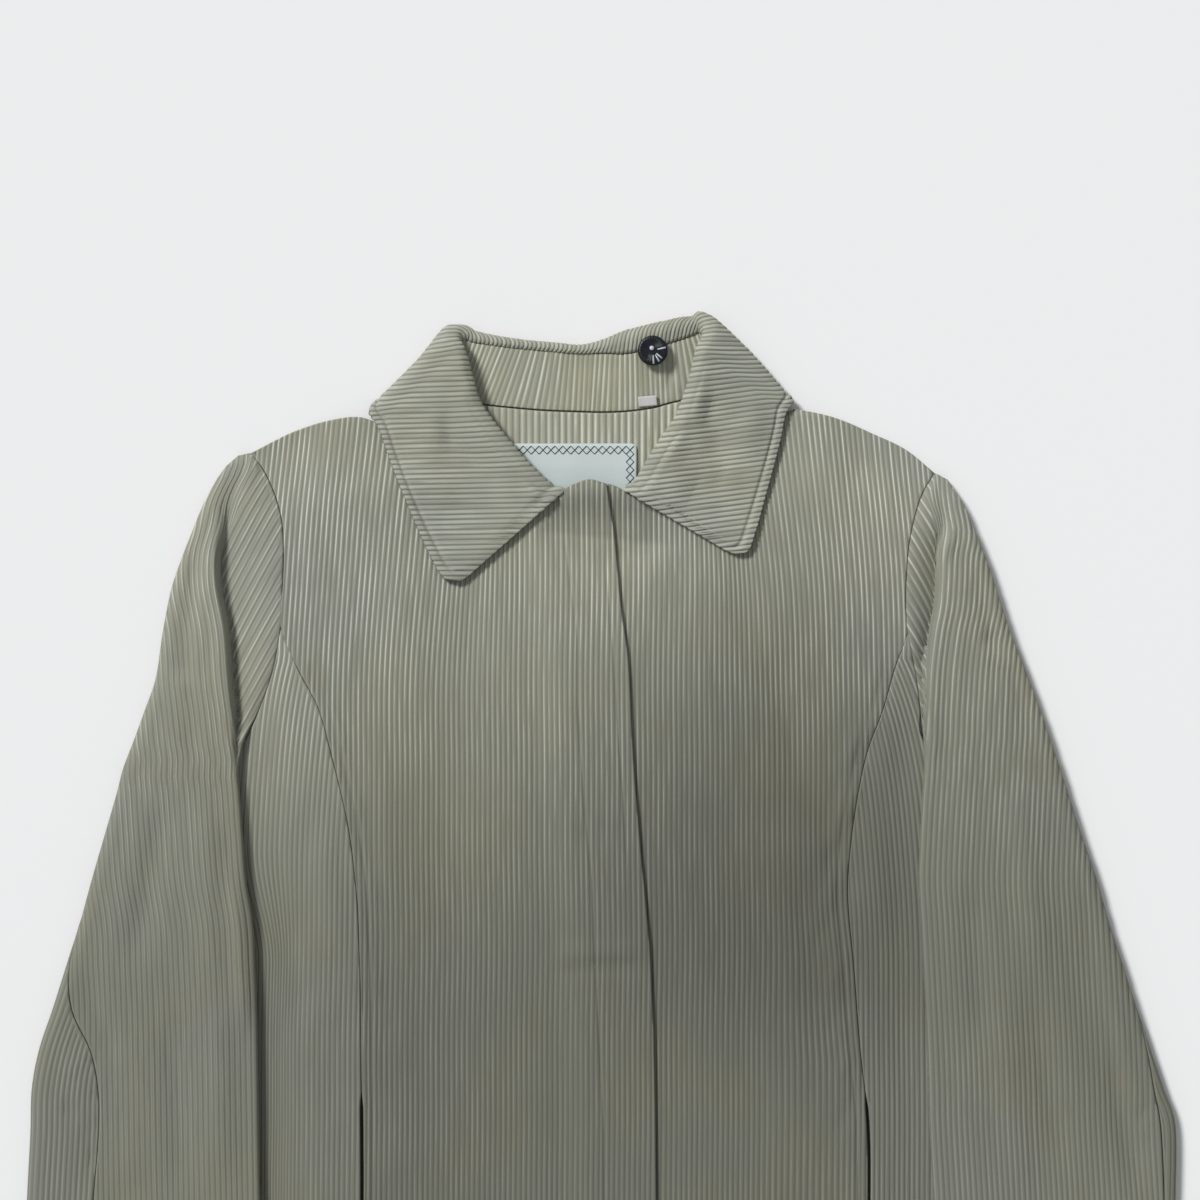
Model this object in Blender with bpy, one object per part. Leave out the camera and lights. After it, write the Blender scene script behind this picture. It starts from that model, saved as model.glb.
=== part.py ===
# Single-breasted corduroy coat laid flat on its back: pointed collar, concealed fly, princess seams
# and two-piece sleeves whose inner folds lie over the sides of the body.
# Plan sizes are millimetres: x runs to the wearer's left, down runs from the back neck to the hem,
# and z is the height over the surface that the coat lies on.

import math

import bmesh
import bpy
import numpy as np
from mathutils import Vector
from mathutils.geometry import delaunay_2d_cdt

MM = 0.001

# Driving dimensions
TOP_DOWN = -53.0  # top of the collar
HEM_DOWN = 1000.0
WALL = 1.6  # one layer of corduroy
FACING_WALL = 1.2
LABEL_WALL = 1.0
TAG_WALL = 1.0
COLLAR_WALL = 2.4  # two layers of corduroy
STAND_WALL = 1.6
GAP = 0.4  # between pieces, at seams and between layers
BODY_PUFF = 5.5  # air between the back and the fronts
BODY_PUFF_RUN = 40.0
HEM_PUFF = 1.5
HEM_RUN = 220.0
FACING_STACK = 3.6  # the fronts clear the facing and the label by this much
EDGE_STEP = 42.0  # longest stretch between points of a seam
SHOULDER_RUN = 50.0
LAP = 34.0  # how far the wearer's right front covers the left one
LAP_RAMP = 26.0
LAP_LEVEL = 5.0  # the upper front is level this far before it meets the lower one's edge
LAP_RISE = WALL + 1.0
POCKET_FROM = 417.0
POCKET_TO = 580.0
POCKET_SLIT = 1.2
NECK_MID = -12.0
NECK_LIFT_HALF = 142.0  # the back lies on the turned-under collar within this half width
NECK_LIFT_FADE = 30.0
NECK_RAMP_FROM = 40.0
NECK_RAMP_TO = 90.0
SLEEVE_CROWN = 10.2
SLEEVE_TURN = 8.0  # plan depth of the rounded outer fold of a sleeve
SLEEVE_INNER_TURN = 4.0
SLEEVE_LIFT = 4.6  # the under sleeve is this high where it lies on the body
SLEEVE_RAMP = 34.0
SLEEVE_RAMP_FLAT = 4.0
VALLEY_Z = 4.6  # bottom of the hollow between the armhole and the sleeve's fold
STEP_RUN = 5.5
BUTTON_DIAMETER = 18.0
BUTTON_AT = (31.5, -29.0)
LABEL_SIZE = (76.0, 34.0)
LABEL_AT = (-16.0, 43.0)
TAG_SIZE = (11.0, 6.0)
TAG_AT = (28.6, 0.6)

CENTRE_DOWN = (TOP_DOWN + HEM_DOWN - GAP / 2) / 2

# Shoulder edge from the neck outwards: x, down
SHOULDER = {
    "right": ((-103, 4), (-118, 14), (-134, 15), (-144, 10), (-161, 11.6), (-183, 18), (-210.5, 31.5)),
    "left": ((92, 5), (102, 13), (111, 14), (121, 7.6), (142.8, 10.8), (164.4, 19.8), (186, 30.6), (201.5, 43.5)),
}
# Front neck edge from the centre front to the shoulder: x, down
FRONT_NECK = {
    "right": ((-7, 49), (-21, 57), (-25.5, 62), (-36, 59), (-50, 53.5), (-66, 45), (-80, 33), (-90, 20), (-96, 9),
              (-98.5, 7.2)),
    "left": ((-3, 57), (14, 60), (20, 62), (34, 59), (48, 52.5), (62, 43), (73.5, 31), (81, 19.5), (85.5, 12.4),
             (88, 9.5)),
}
# Back neck edge from the wearer's right shoulder to the left one: x, down
BACK_NECK = ((-103, 4), (-90, 2.5), (-78, 2), (-60, 3.8), (-35, 6), (-12, 6.9), (0, 7.2), (14, 6.8), (30, 4.8),
             (46, 0.8), (60, -2), (78, -1.5), (92, 5))
# Down from which the fronts start to rise off the back: x, down
RISE_FROM = ((-210, 32), (-160, 12), (-110, 20), (-50, 36), (0, 42), (50, 36), (100, 18), (142, 12), (202, 44))
# Princess seam from the armhole down: x, down
PRINCESS = {
    "right": ((-180.6, 162.6), (-169.2, 184.2), (-161.4, 211.8), (-151.2, 255), (-146.4, 292), (-144, 341),
              (-143.4, 390), (-142.8, 440), (-143, 500), (-148, 580), (-158, 720), (-170, 870), (-180, 999)),
    "left": ((177, 161), (170.4, 184), (161.5, 208), (152, 255), (148.8, 296), (152.4, 341), (156.2, 390),
             (160.6, 430), (161.6, 500), (164, 580), (170, 720), (180, 870), (190, 998)),
}
# Side seam from the underarm down: x, down
SIDE = {
    "right": ((-228, 222), (-222, 300), (-221, 380), (-238, 470), (-262, 600), (-283, 780), (-300, 988)),
    "left": ((212, 222), (209, 300), (212, 380), (232, 470), (257, 600), (279, 780), (298, 988)),
}
# Free edge of the wearer's right front, which lies on top: x, down
LAP_EDGE = ((4, 53), (8, 77), (12.6, 124), (16.2, 150), (19.8, 213), (24.6, 272), (30, 332), (32, 378),
            (33.6, 470), (35, 640), (36, 820), (36, 1000))
# Sleeve sections: armhole or inner fold x and down, width of the hollow, depth of the step over it (0 to 1),
# outer x and down, inset of the hind seam from the outer fold
SLEEVE = {
    "right": (
        (-210.5, 31.5, 3, 0, -222, 36.5, 0),
        (-204.6, 38.5, 9, 0, -229, 47, 0),
        (-197, 52.2, 24, 0.1, -237.5, 61.5, 0),
        (-191.4, 69, 33, 0.5, -245, 79.8, 0),
        (-189.7, 88, 38, 0.9, -251, 95, 0),
        (-190.2, 110, 37, 1, -257.4, 114, 0),
        (-191.4, 137.4, 31, 1, -262.5, 140, 0),
        (-196.8, 165, 23.6, 1, -266.5, 167, 0),
        (-204, 184.2, 15.5, 1, -273, 186, 0),
        (-213.5, 204, 6, 1, -280, 205, 0),
        (-217.2, 222, 0, 1, -286.5, 222, 0),
        (-216.3, 236, 0, 1, -290, 236, 0),
        (-214.5, 262, 0, 1, -297.5, 262, 0),
        (-212.4, 288, 0, 1, -305, 288, 0),
        (-208.4, 314, 0, 1, -312, 314, 0),
        (-207, 340, 0, 1, -320, 340, 2),
        (-205.9, 366, 0, 1, -328.2, 366, 12),
        (-205.5, 390, 0, 1, -336.2, 390, 31),
        (-205.1, 414, 0, 1, -340.6, 414, 40),
        (-204.7, 440, 0, 1, -341.4, 440, 41),
        (-204, 480, 0, 1, -343.5, 480, 40),
        (-202.5, 525, 0, 1, -345, 525, 39),
        (-200.5, 570, 0, 1, -344.5, 570, 38),
        (-198.5, 615, 0, 1, -342, 615, 37),
        (-197, 660, 0, 1, -338, 660, 36),
    ),
    "left": (
        (201.5, 43.5, 3, 0, 213, 51, 0),
        (193.8, 56.4, 10, 0, 219.5, 66, 0),
        (188.5, 72, 20, 0.3, 226, 81, 0),
        (185.2, 88, 20.6, 0.8, 232, 96, 0),
        (183.8, 106, 20.2, 1, 237.5, 112, 0),
        (183.4, 123, 18.6, 1, 242, 126, 0),
        (184.4, 140, 15.6, 1, 247, 141, 0),
        (189.5, 163, 8.1, 1, 256, 164, 0),
        (192.5, 184, 4.2, 1, 263.5, 184, 0),
        (194.4, 204, 3, 1, 270.5, 204, 0),
        (194.6, 222, 0, 1, 276.5, 222, 0),
        (193.7, 236, 0, 1, 281, 236, 0),
        (192.3, 262, 0, 1, 289.3, 262, 0),
        (191.4, 288, 0, 1, 298.2, 288, 0),
        (192.9, 314, 0, 1, 305.5, 314, 0),
        (194.2, 340, 0, 1, 314, 340, 0),
        (195.5, 366, 0, 1, 322.3, 366, 0),
        (196.6, 390, 0, 1, 330, 390, 2),
        (197.4, 414, 0, 1, 338, 414, 6),
        (197.9, 436, 0, 1, 345, 436, 9),
        (200.4, 480, 0, 1, 345, 480, 7),
        (203, 525, 0, 1, 344.6, 525, 6),
        (205, 570, 0, 1, 344, 570, 6),
        (207, 615, 0, 1, 343, 615, 6),
        (209, 660, 0, 1, 342, 660, 6),
    ),
}
ARMHOLE_ROWS = 10
PRINCESS_ROW = 6  # the princess seam starts at this armhole row

# Collar sections on the fronts, from the front end to the shoulder: neck x and down, roll x and down,
# free edge x and down, how far below the roll the stand is joined
COLLAR_FRONT = {
    "right": (
        (-25.5, 62, -20.5, 55, -81, 107.5, 3.5),
        (-36, 59, -30, 50.5, -89, 110, 4.5),
        (-50, 53.5, -40.5, 41, -96, 104.5, 7),
        (-66, 45, -51.3, 29, -104, 89.5, 9),
        (-80, 33, -63, 15, -110.5, 75, 9),
        (-90, 20, -72, 2, -117.5, 58, 9),
        (-96, 9, -77, -14, -126, 36.5, 9),
        (-98.5, 7.2, -82, -31, -133.5, 16, 9),
    ),
    "left": (
        (20, 62, 14.2, 54.8, 79, 92.6, 3.5),
        (34, 59, 22.8, 46.6, 88, 91.5, 5.5),
        (48, 52.5, 29.7, 35.4, 93.5, 79, 8),
        (62, 43, 37.6, 22.7, 97.5, 65, 9),
        (73.5, 31, 46, 10, 101.5, 50, 9),
        (81, 19.5, 51.4, -4, 105.5, 35, 9),
        (85.5, 12.4, 55.2, -17, 109, 21, 9),
        (88, 9.5, 58.6, -31, 111.5, 8.5, 9),
    ),
}
# Collar sections on the back, from the wearer's right to the left: the same columns, then the join's height
COLLAR_BACK = (
    (-90, 2.5, -75.5, -41, -116, 11, 6, 6.4),
    (-78, 2, -62, -37.8, -98, 27, 5, 7.4),
    (-60, 3.8, -46, -35.4, -66, 31, 4.5, 7.8),
    (-35, 6, -28, -33.8, -34, 33, 4.5, 8),
    (-12, 6.9, -10, -32.6, -10, 33.5, 4.5, 8),
    (0, 7.2, 3, -36, 6, 33, 8, 8.6),
    (14, 6.8, 14, -40.5, 26, 33, 13, 9.4),
    (30, 4.8, 28, -44.2, 50, 31, 14, 9.6),
    (46, 0.8, 42, -47.4, 74, 27, 13, 9),
    (60, -2, 49, -49, 87, 21, 12, 7.8),
    (78, -1.5, 55, -49.6, 98, 9, 10, 6.6),
)
CONTROLS = ("neck", "seam", "crest", "roll", "over", "middle", "edge")
# How far each control point swings out where the collar turns over from the fronts to the back
NOSE_OUT = {
    "right": ((-0.693, -0.721), (5, 6, 5.5, 8, 14, 13.5, 15)),
    "left": ((0.665, -0.747), (4.5, 3, 5.5, 10, 13, 15, 12.5)),
}
NOSE_TURN = (45, 0, -45)  # degrees
SEAM_FRONT_Z = 10.2
CREST_FRONT_Z = 10.3
ROLL_FRONT_Z = 12.6
OVER_FRONT_Z = 15.0
MIDDLE_FRONT_Z = 12.6
NOSE_LIFT = 2.0  # the collar stands this much higher where it turns over
NECK_BACK_Z = 3.7
EDGE_FRONT_GAP = 0.6

# Largest folds: start x and down, end x and down, half width, height (troughs are negative)
FOLDS = (
    (108, 150, 128, 255, 30, -1.8),
    (122, 240, 146, 300, 22, -1.6),
    (-196, 318, -172, 362, 16, -1.4),
    (-165, 18, -135, 46, 20, -0.8),
    (120, 20, 158, 46, 20, -0.8),
    (285, 318, 320, 462, 15, -2.2),
    (-310, 350, -292, 392, 10, -1.4),
    (-262, 128, -262, 168, 14, -1.0),
    (-226, 92, -246, 190, 13, 1.2),
    (222, 92, 240, 200, 13, 1.2),
    (-285, 470, -240, 500, 18, -1.6),
    (285, 520, 235, 560, 20, -1.6),
    (-110, 560, -95, 900, 36, 1.6),
    (105, 600, 88, 940, 40, 1.6),
    (-235, 700, -225, 960, 26, 1.4),
    (232, 690, 224, 950, 26, 1.4),
)

CLOTH_COLOUR = (0.255, 0.262, 0.205, 1)
FACING_COLOUR = (0.28, 0.285, 0.22, 1)
LABEL_COLOUR = (0.62, 0.68, 0.66, 1)
TAG_COLOUR = (0.55, 0.53, 0.52, 1)
BUTTON_COLOUR = (0.008, 0.009, 0.012, 1)


def clear_scene():
    for thing in list(bpy.data.objects):
        bpy.data.objects.remove(thing)


def material(name, colour, roughness):
    made = bpy.data.materials.new(name)
    made.use_nodes = True
    shader = made.node_tree.nodes["Principled BSDF"]
    shader.inputs["Base Color"].default_value = colour
    shader.inputs["Roughness"].default_value = roughness
    shader.inputs["Metallic"].default_value = 0.0
    return made


def rise(share):
    """0 to 1 with level ends."""
    share = np.clip(share, 0, 1)
    return share * share * (3 - 2 * share)


def at(table, down, x_column=0, down_column=1):
    """x of a plan line at the given down."""
    rows = np.array(table, float)
    return np.interp(down, rows[:, down_column], rows[:, x_column])


def distance_to(line, x, down):
    """Shortest plan distance from points to a line of (x, down) points."""
    points = np.stack([np.asarray(x, float), np.asarray(down, float)], -1)
    nearest = np.full(points.shape[:-1], np.inf)
    for start, end in zip(np.array(line, float)[:-1], np.array(line, float)[1:]):
        along = end - start
        share = np.clip(((points - start) @ along) / (along @ along), 0, 1)
        nearest = np.minimum(nearest, np.linalg.norm(points - start - share[..., None] * along, axis=-1))
    return nearest


def folds(x, down):
    """Sum of the large folds: a bell across each fold's line, fading at its two ends."""
    total = np.zeros(np.broadcast(x, down).shape)
    for x0, down0, x1, down1, half_width, height in FOLDS:
        along = np.array((x1 - x0, down1 - down0), float)
        length = np.linalg.norm(along)
        share = ((x - x0) * along[0] + (down - down0) * along[1]) / length**2
        aside = ((x - x0) * along[1] - (down - down0) * along[0]) / length
        ends = rise((share + 0.2) / 0.4) * rise((1.2 - share) / 0.4)
        total = total + height * ends * np.exp(-((aside / half_width) ** 2))
    return total


def pressed_line(side):
    """Plan line that holds the body down: the sleeve's inner fold, then the side seam past the cuff."""
    sign = -1 if side == "right" else 1
    inner = [(row[0], row[1]) for row in SLEEVE[side][ARMHOLE_ROWS:]]
    past_cuff = [(at(SIDE[side], down), down) for down in (710, 780, 988)]
    spread = [(inner[0][0] + sign * 90, 100), (inner[0][0] + sign * 18, 160)]
    return [spread[0], spread[1], *inner, *past_cuff]


def neck_lift(x, down):
    """The back rises over the collar that is turned under it."""
    along = np.clip((NECK_RAMP_TO - down) / (NECK_RAMP_TO - NECK_RAMP_FROM), 0, 1)
    across = rise((NECK_LIFT_HALF + NECK_LIFT_FADE - abs(x - NECK_MID)) / NECK_LIFT_FADE)
    return (COLLAR_WALL + GAP) * along * across


def front_bottom(side, x, down):
    """Underside of the fronts: on the back at the edges, puffed up between them."""
    x = np.asarray(x, float)
    down = np.asarray(down, float)
    held = np.abs(at(pressed_line(side), down))
    from_side = rise((held - np.abs(x) - 4) / BODY_PUFF_RUN)
    from_shoulder = rise((down - np.interp(x, *np.array(RISE_FROM, float).T)) / SHOULDER_RUN)
    hem_share = rise((HEM_DOWN - down) / HEM_RUN)
    height = HEM_PUFF + (BODY_PUFF - HEM_PUFF) * hem_share
    spread = from_side * from_shoulder
    puff = spread * (height + folds(x, down))
    away = np.hypot((x - NECK_MID) / 72, (down - 5) / 82)
    stack = FACING_STACK * rise((1.35 - away) / 0.3)
    return neck_lift(x, down) + WALL + GAP + np.maximum(np.maximum(puff, 0), stack)


def lap_rise(x, down):
    """The wearer's right front climbs onto the left one."""
    hidden_edge = at(LAP_EDGE, down) - LAP
    return LAP_RISE * rise((x - hidden_edge + LAP_RAMP) / (LAP_RAMP - LAP_LEVEL))


def front_top(side, x, down):
    top = front_bottom(side, x, down) + WALL
    return top + lap_rise(x, down) if side == "right" else top


def armhole(side):
    return [(row[0], row[1]) for row in SLEEVE[side][:ARMHOLE_ROWS]] + [SIDE[side][0]]


def inset(loop, distance):
    """A closed plan loop moved inwards by a distance, or by one distance for each point."""
    points = np.array(loop, float)
    ahead = np.roll(points, -1, 0) - points
    ahead /= np.linalg.norm(ahead, axis=1)[:, None]
    behind = np.roll(ahead, 1, 0)
    area = np.sum(points[:, 0] * np.roll(points[:, 1], -1) - np.roll(points[:, 0], -1) * points[:, 1])
    turn = 1 if area > 0 else -1
    normal_ahead = turn * np.stack([-ahead[:, 1], ahead[:, 0]], 1)
    normal_behind = turn * np.stack([-behind[:, 1], behind[:, 0]], 1)
    mitre = normal_ahead + normal_behind
    mitre /= np.maximum(np.sum(mitre * normal_ahead, axis=1), 0.6)[:, None]
    return points + mitre * np.broadcast_to(distance, len(points))[:, None]


def inside(loop, x, down):
    """True for plan points within a closed loop."""
    found = np.zeros(np.shape(x), bool)
    for (x0, down0), (x1, down1) in zip(loop, np.roll(loop, -1, 0)):
        crosses = (down0 > down) != (down1 > down)
        level = down1 - down0 if down1 != down0 else 1.0
        found ^= crosses & (x < (x1 - x0) * (down - down0) / level + x0)
    return found


def fill(loop, across, along, lines=()):
    """Plan triangles within a loop, from a staggered grid of points; the given lines become edges."""
    loop = np.array(loop, float)
    closed = np.vstack([loop, loop[:1]])
    low, high = loop.min(0), loop.max(0)
    kept = [loop]
    edges = []
    for line in lines:
        line = np.array(line, float)
        clear = distance_to(closed, line[:, 0], line[:, 1]) > 0.3 * min(across, along)
        line = line[clear & inside(loop, line[:, 0], line[:, 1])]
        count = sum(len(points) for points in kept)
        edges += [(count + k, count + k + 1) for k in range(len(line) - 1)]
        kept.append(line)
    grid = []
    for row, down in enumerate(np.arange(low[1] + along / 2, high[1], along)):
        xs = np.arange(low[0] + across / 2 + (row % 2) * across / 2, high[0], across)
        grid += [(x, down) for x in xs]
    grid = np.array(grid)
    clear = distance_to(closed, grid[:, 0], grid[:, 1]) > 0.42 * min(across, along)
    for line in kept[1:]:
        clear &= distance_to(line, grid[:, 0], grid[:, 1]) > 0.3 * min(across, along)
    kept.append(grid[clear & inside(loop, grid[:, 0], grid[:, 1])])
    points = [Vector(point) for point in np.vstack(kept)]
    made = delaunay_2d_cdt(points, edges, [list(range(len(loop)))], 1, 1e-4)
    return np.array([tuple(v) for v in made[0]]), [tuple(face) for face in made[2]]


def spaced(line):
    """A plan line with its long stretches divided."""
    points = [tuple(line[0])]
    for start, end in zip(line, line[1:]):
        steps = max(1, math.ceil(math.dist(start, end) / EDGE_STEP))
        for k in range(1, steps + 1):
            points.append((start[0] + (end[0] - start[0]) * k / steps, start[1] + (end[1] - start[1]) * k / steps))
    return points


def level_line(down, step):
    return [(x, down) for x in np.arange(-360, 360, step)]


def add_mesh(name, points, faces, finish, smooth=True):
    """Points are (x, down, z) in millimetres; the object's mesh is in metres with +Y to the collar."""
    points = np.array(points, float)
    placed = np.stack([points[:, 0], CENTRE_DOWN - points[:, 1], points[:, 2]], 1) * MM
    mesh = bpy.data.meshes.new(name)
    mesh.from_pydata(placed.tolist(), [], faces)
    shape = bmesh.new()
    shape.from_mesh(mesh)
    bmesh.ops.recalc_face_normals(shape, faces=shape.faces)
    bmesh.ops.triangulate(shape, faces=shape.faces)
    shape.to_mesh(mesh)
    shape.free()
    if smooth:
        mesh.shade_smooth()
        mesh.set_sharp_from_angle(angle=math.radians(40))
    mesh.materials.append(finish)
    thing = bpy.data.objects.new(name, mesh)
    bpy.context.scene.collection.objects.link(thing)
    return thing


def add_panel(name, loop, spacing, bottom, wall, finish, lines=()):
    """A wall over a plan loop: its underside is bottom(x, down), its outer side is a wall higher."""
    plan, triangles = fill(loop, spacing[0], spacing[1], lines)
    under = bottom(plan[:, 0], plan[:, 1])
    count = len(plan)
    points = np.vstack([np.column_stack([plan, under]), np.column_stack([plan, under + wall])])
    uses = {}
    for face in triangles:
        for a, b in zip(face, face[1:] + face[:1]):
            uses.setdefault(frozenset((a, b)), []).append((a, b))
    rim = [pairs[0] for pairs in uses.values() if len(pairs) == 1]
    faces = [face[::-1] for face in triangles]
    faces += [tuple(i + count for i in face) for face in triangles]
    faces += [(a, b, b + count, a + count) for a, b in rim]
    return add_mesh(name, points, faces, finish)


def grid_normals(grid):
    normal = np.cross(np.gradient(grid, axis=0), np.gradient(grid, axis=1))
    return normal / np.linalg.norm(normal, axis=2)[..., None]


def add_wall(name, grid, normal, wall, finish):
    """A wall over a grid of middle points, half to each side along their normals."""
    rows, columns = grid.shape[:2]
    points = np.vstack([(grid + normal * wall / 2).reshape(-1, 3), (grid - normal * wall / 2).reshape(-1, 3)])
    index = np.arange(rows * columns).reshape(rows, columns)
    quads = np.stack([index[:-1, :-1], index[:-1, 1:], index[1:, 1:], index[1:, :-1]], -1).reshape(-1, 4)
    other = rows * columns
    faces = [tuple(int(i) for i in quad) for quad in quads]
    faces += [tuple(int(i) + other for i in quad[::-1]) for quad in quads]
    border = np.concatenate([index[0, :-1], index[:-1, -1], index[-1, :0:-1], index[:0:-1, 0]])
    for a, b in zip(border, np.roll(border, -1)):
        faces.append((int(b), int(a), int(a) + other, int(b) + other))
    return add_mesh(name, points, faces, finish)


def body_loops(side):
    """Plan loops of the centre front and the side front of one side, with matching seam points."""
    hole = armhole(side)
    princess = spaced(PRINCESS[side])
    neck = list(FRONT_NECK[side])
    opening = spaced(LAP_EDGE)
    if side == "left":
        opening = [(x - LAP, down) for x, down in opening if down > 60]
    shoulder = list(SHOULDER[side])[-2::-1]
    hem = spaced([opening[-1], princess[-1]])[1:-1]
    front = neck[::-1] + opening + hem + princess[::-1] + hole[: PRINCESS_ROW + 1][::-1] + shoulder
    side_front = hole[PRINCESS_ROW:] + spaced(SIDE[side])[1:] + princess[::-1]
    return front, side_front


def seam_insets(side, loop):
    """Half a seam's gap for each point, wider along the pocket opening."""
    princess = np.array(spaced(PRINCESS[side]))
    widths = []
    for x, down in loop:
        on_princess = np.min(np.hypot(princess[:, 0] - x, princess[:, 1] - down)) < 0.1
        pocket = on_princess and POCKET_FROM < down < POCKET_TO
        widths.append(GAP / 2 + (POCKET_SLIT / 2 if pocket else 0))
    return np.array(widths)


def add_body(cloth):
    hidden_edge = np.array([(at(LAP_EDGE, down) - LAP, down) for down in np.arange(70, HEM_DOWN, 24)])
    lap_lines = (hidden_edge - (LAP_RAMP, 0), hidden_edge - (LAP_LEVEL, 0))
    for side in ("right", "left"):
        front, side_front = body_loops(side)
        lift = lap_rise if side == "right" else (lambda x, down: 0.0)
        add_panel(
            f"front_{side}",
            inset(front, seam_insets(side, front)),
            (19, 30),
            lambda x, down, side=side, lift=lift: front_bottom(side, x, down) + lift(x, down),
            WALL,
            cloth,
            lap_lines if side == "right" else (),
        )
        add_panel(
            f"side_front_{side}",
            inset(side_front, seam_insets(side, side_front)),
            (17, 32),
            lambda x, down, side=side: front_bottom(side, x, down),
            WALL,
            cloth,
        )
    right = list(SHOULDER["right"]) + armhole("right")[1:] + spaced(SIDE["right"])[1:]
    left = list(SHOULDER["left"]) + armhole("left")[1:] + spaced(SIDE["left"])[1:]
    hem = [(-180, 998), (-60, HEM_DOWN), (60, HEM_DOWN), (190, 998)]
    loop = right + hem + left[::-1] + list(BACK_NECK)[-2:0:-1]
    ramp = (level_line(NECK_RAMP_FROM, 40), level_line(NECK_RAMP_TO, 40))
    add_panel("back", inset(loop, GAP / 2), (44, 62), neck_lift, WALL, cloth, ramp)


def body_distance(side, x, down):
    """Plan distance outside the side of the body, negative over the body."""
    line = armhole(side) + list(SIDE[side])[1:]
    sign = -1 if side == "right" else 1
    outside = (x - at(line, down)) * sign > 0
    return np.where(outside, 1, -1) * distance_to(line, x, down)


def sleeve_base(side, x, down):
    """Underside of the under sleeve: on the surface, and up over the side of the body below the underarm."""
    outside = body_distance(side, x, down)
    over = np.clip((SLEEVE_RAMP + SLEEVE_RAMP_FLAT - outside) / SLEEVE_RAMP, 0, 1)
    return SLEEVE_LIFT * over * rise((down - 186) / 20)


def quarter(share):
    """Height of a quarter ellipse at a share of its depth."""
    return np.sqrt(1 - (1 - np.clip(share, 0, 1)) ** 2)


def sleeve_row(side, row):
    """Names the numbers of one sleeve section and works out its scale and its crown."""
    seam_x, seam_down, hollow, step, outer_x, outer_down, hind = SLEEVE[side][row]
    inner = np.array((seam_x, seam_down), float)
    outer = np.array((outer_x, outer_down), float)
    length = np.linalg.norm(outer - inner)
    crown = (4.4, 7.6, 9.4)[row] if row < 3 else SLEEVE_CROWN
    return {
        "inner": inner,
        "unit": (outer - inner) / length,
        "length": length,
        "scale": min(1.0, length / 45),
        "hollow": hollow,
        "step": step,
        "hind": hind,
        "crown": crown,
        "fold": row >= ARMHOLE_ROWS,
    }


def outer_height(section, inwards):
    """Middle height of the top layer near the outer fold, inwards from the fold's extreme."""
    floor = WALL / 2
    middle = (section["crown"] + floor) / 2
    turn = SLEEVE_TURN * section["scale"]
    return middle + (section["crown"] - middle) * quarter(inwards / turn)


def beyond(points):
    """The point that carries a section on past its first one."""
    return 2 * points[0] - points[1]


def top_sleeve_grid(side):
    """Middle points of the top sleeve, with a row of guide points past each long edge."""
    grid = []
    for row in range(len(SLEEVE[side])):
        s = sleeve_row(side, row)
        scale, length, hind, near = s["scale"], s["length"], s["hind"], s["hollow"]
        turn = SLEEVE_TURN * scale
        if s["fold"]:
            starts = np.array((0.0, 0.5, 1.6, 3.2, 6.5))
        else:
            starts = np.array((GAP / 2, near / 2, near, near + 2.2 * scale, near + STEP_RUN * scale))
        ends = length - hind - np.array((turn, 2.4 * scale, 0.6 * GAP if hind else 0.0))
        along = np.concatenate([starts, np.linspace(starts[-1], ends[0], 6)[1:-1], ends])
        plan = s["inner"] + along[:, None] * s["unit"]
        x, down = plan[:, 0], plan[:, 1]
        floor = sleeve_base(side, x, down) + WALL + GAP + WALL / 2
        crown = s["crown"] + folds(x, down) * rise((length - hind - along) / 16) * rise(along / 10)
        crown[4:-3] += 1.2 * np.sin(np.linspace(0.15, 0.85, len(along) - 7) * np.pi) * scale
        z = crown - s["crown"] + outer_height(s, length - along)
        if not hind:
            z[-1] += 0.6 * GAP
        if s["fold"]:
            centre = inner_centre(side, s)
            z[:4] = centre + (crown[4] - centre) * quarter(starts[:4] / SLEEVE_INNER_TURN)
            z[0] = centre + GAP / 2
            before = np.array((*plan[1], 2 * centre - z[1]))
        else:
            seam = front_bottom(side, x[:1], down[:1])[0] + WALL / 2
            bottom = s["step"] * VALLEY_Z + (1 - s["step"]) * (0.35 * seam + 0.65 * s["crown"])
            z[:5] = (seam, (seam + bottom) / 2, bottom, bottom + 0.62 * (crown[4] - bottom), crown[4])
            z = np.maximum(z, np.where(along < length - turn, floor, 0))
            before = beyond(np.column_stack([plan, z]))
        points = np.column_stack([plan, z])
        past = hind - 2.4 * scale
        middle = (s["crown"] + WALL / 2) / 2
        after_z = middle + math.copysign(outer_height(s, abs(past)) - middle, past)
        after = np.array((*(s["inner"] + (length - abs(past)) * s["unit"]), after_z))
        grid.append(np.vstack([before, points, after]))
    return np.array(grid)


def inner_centre(side, s):
    """Height of the seam inside a sleeve's inner fold."""
    low = sleeve_base(side, s["inner"][:1], s["inner"][1:])[0] + WALL / 2
    high = s["crown"]
    return (low + high) / 2


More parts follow.
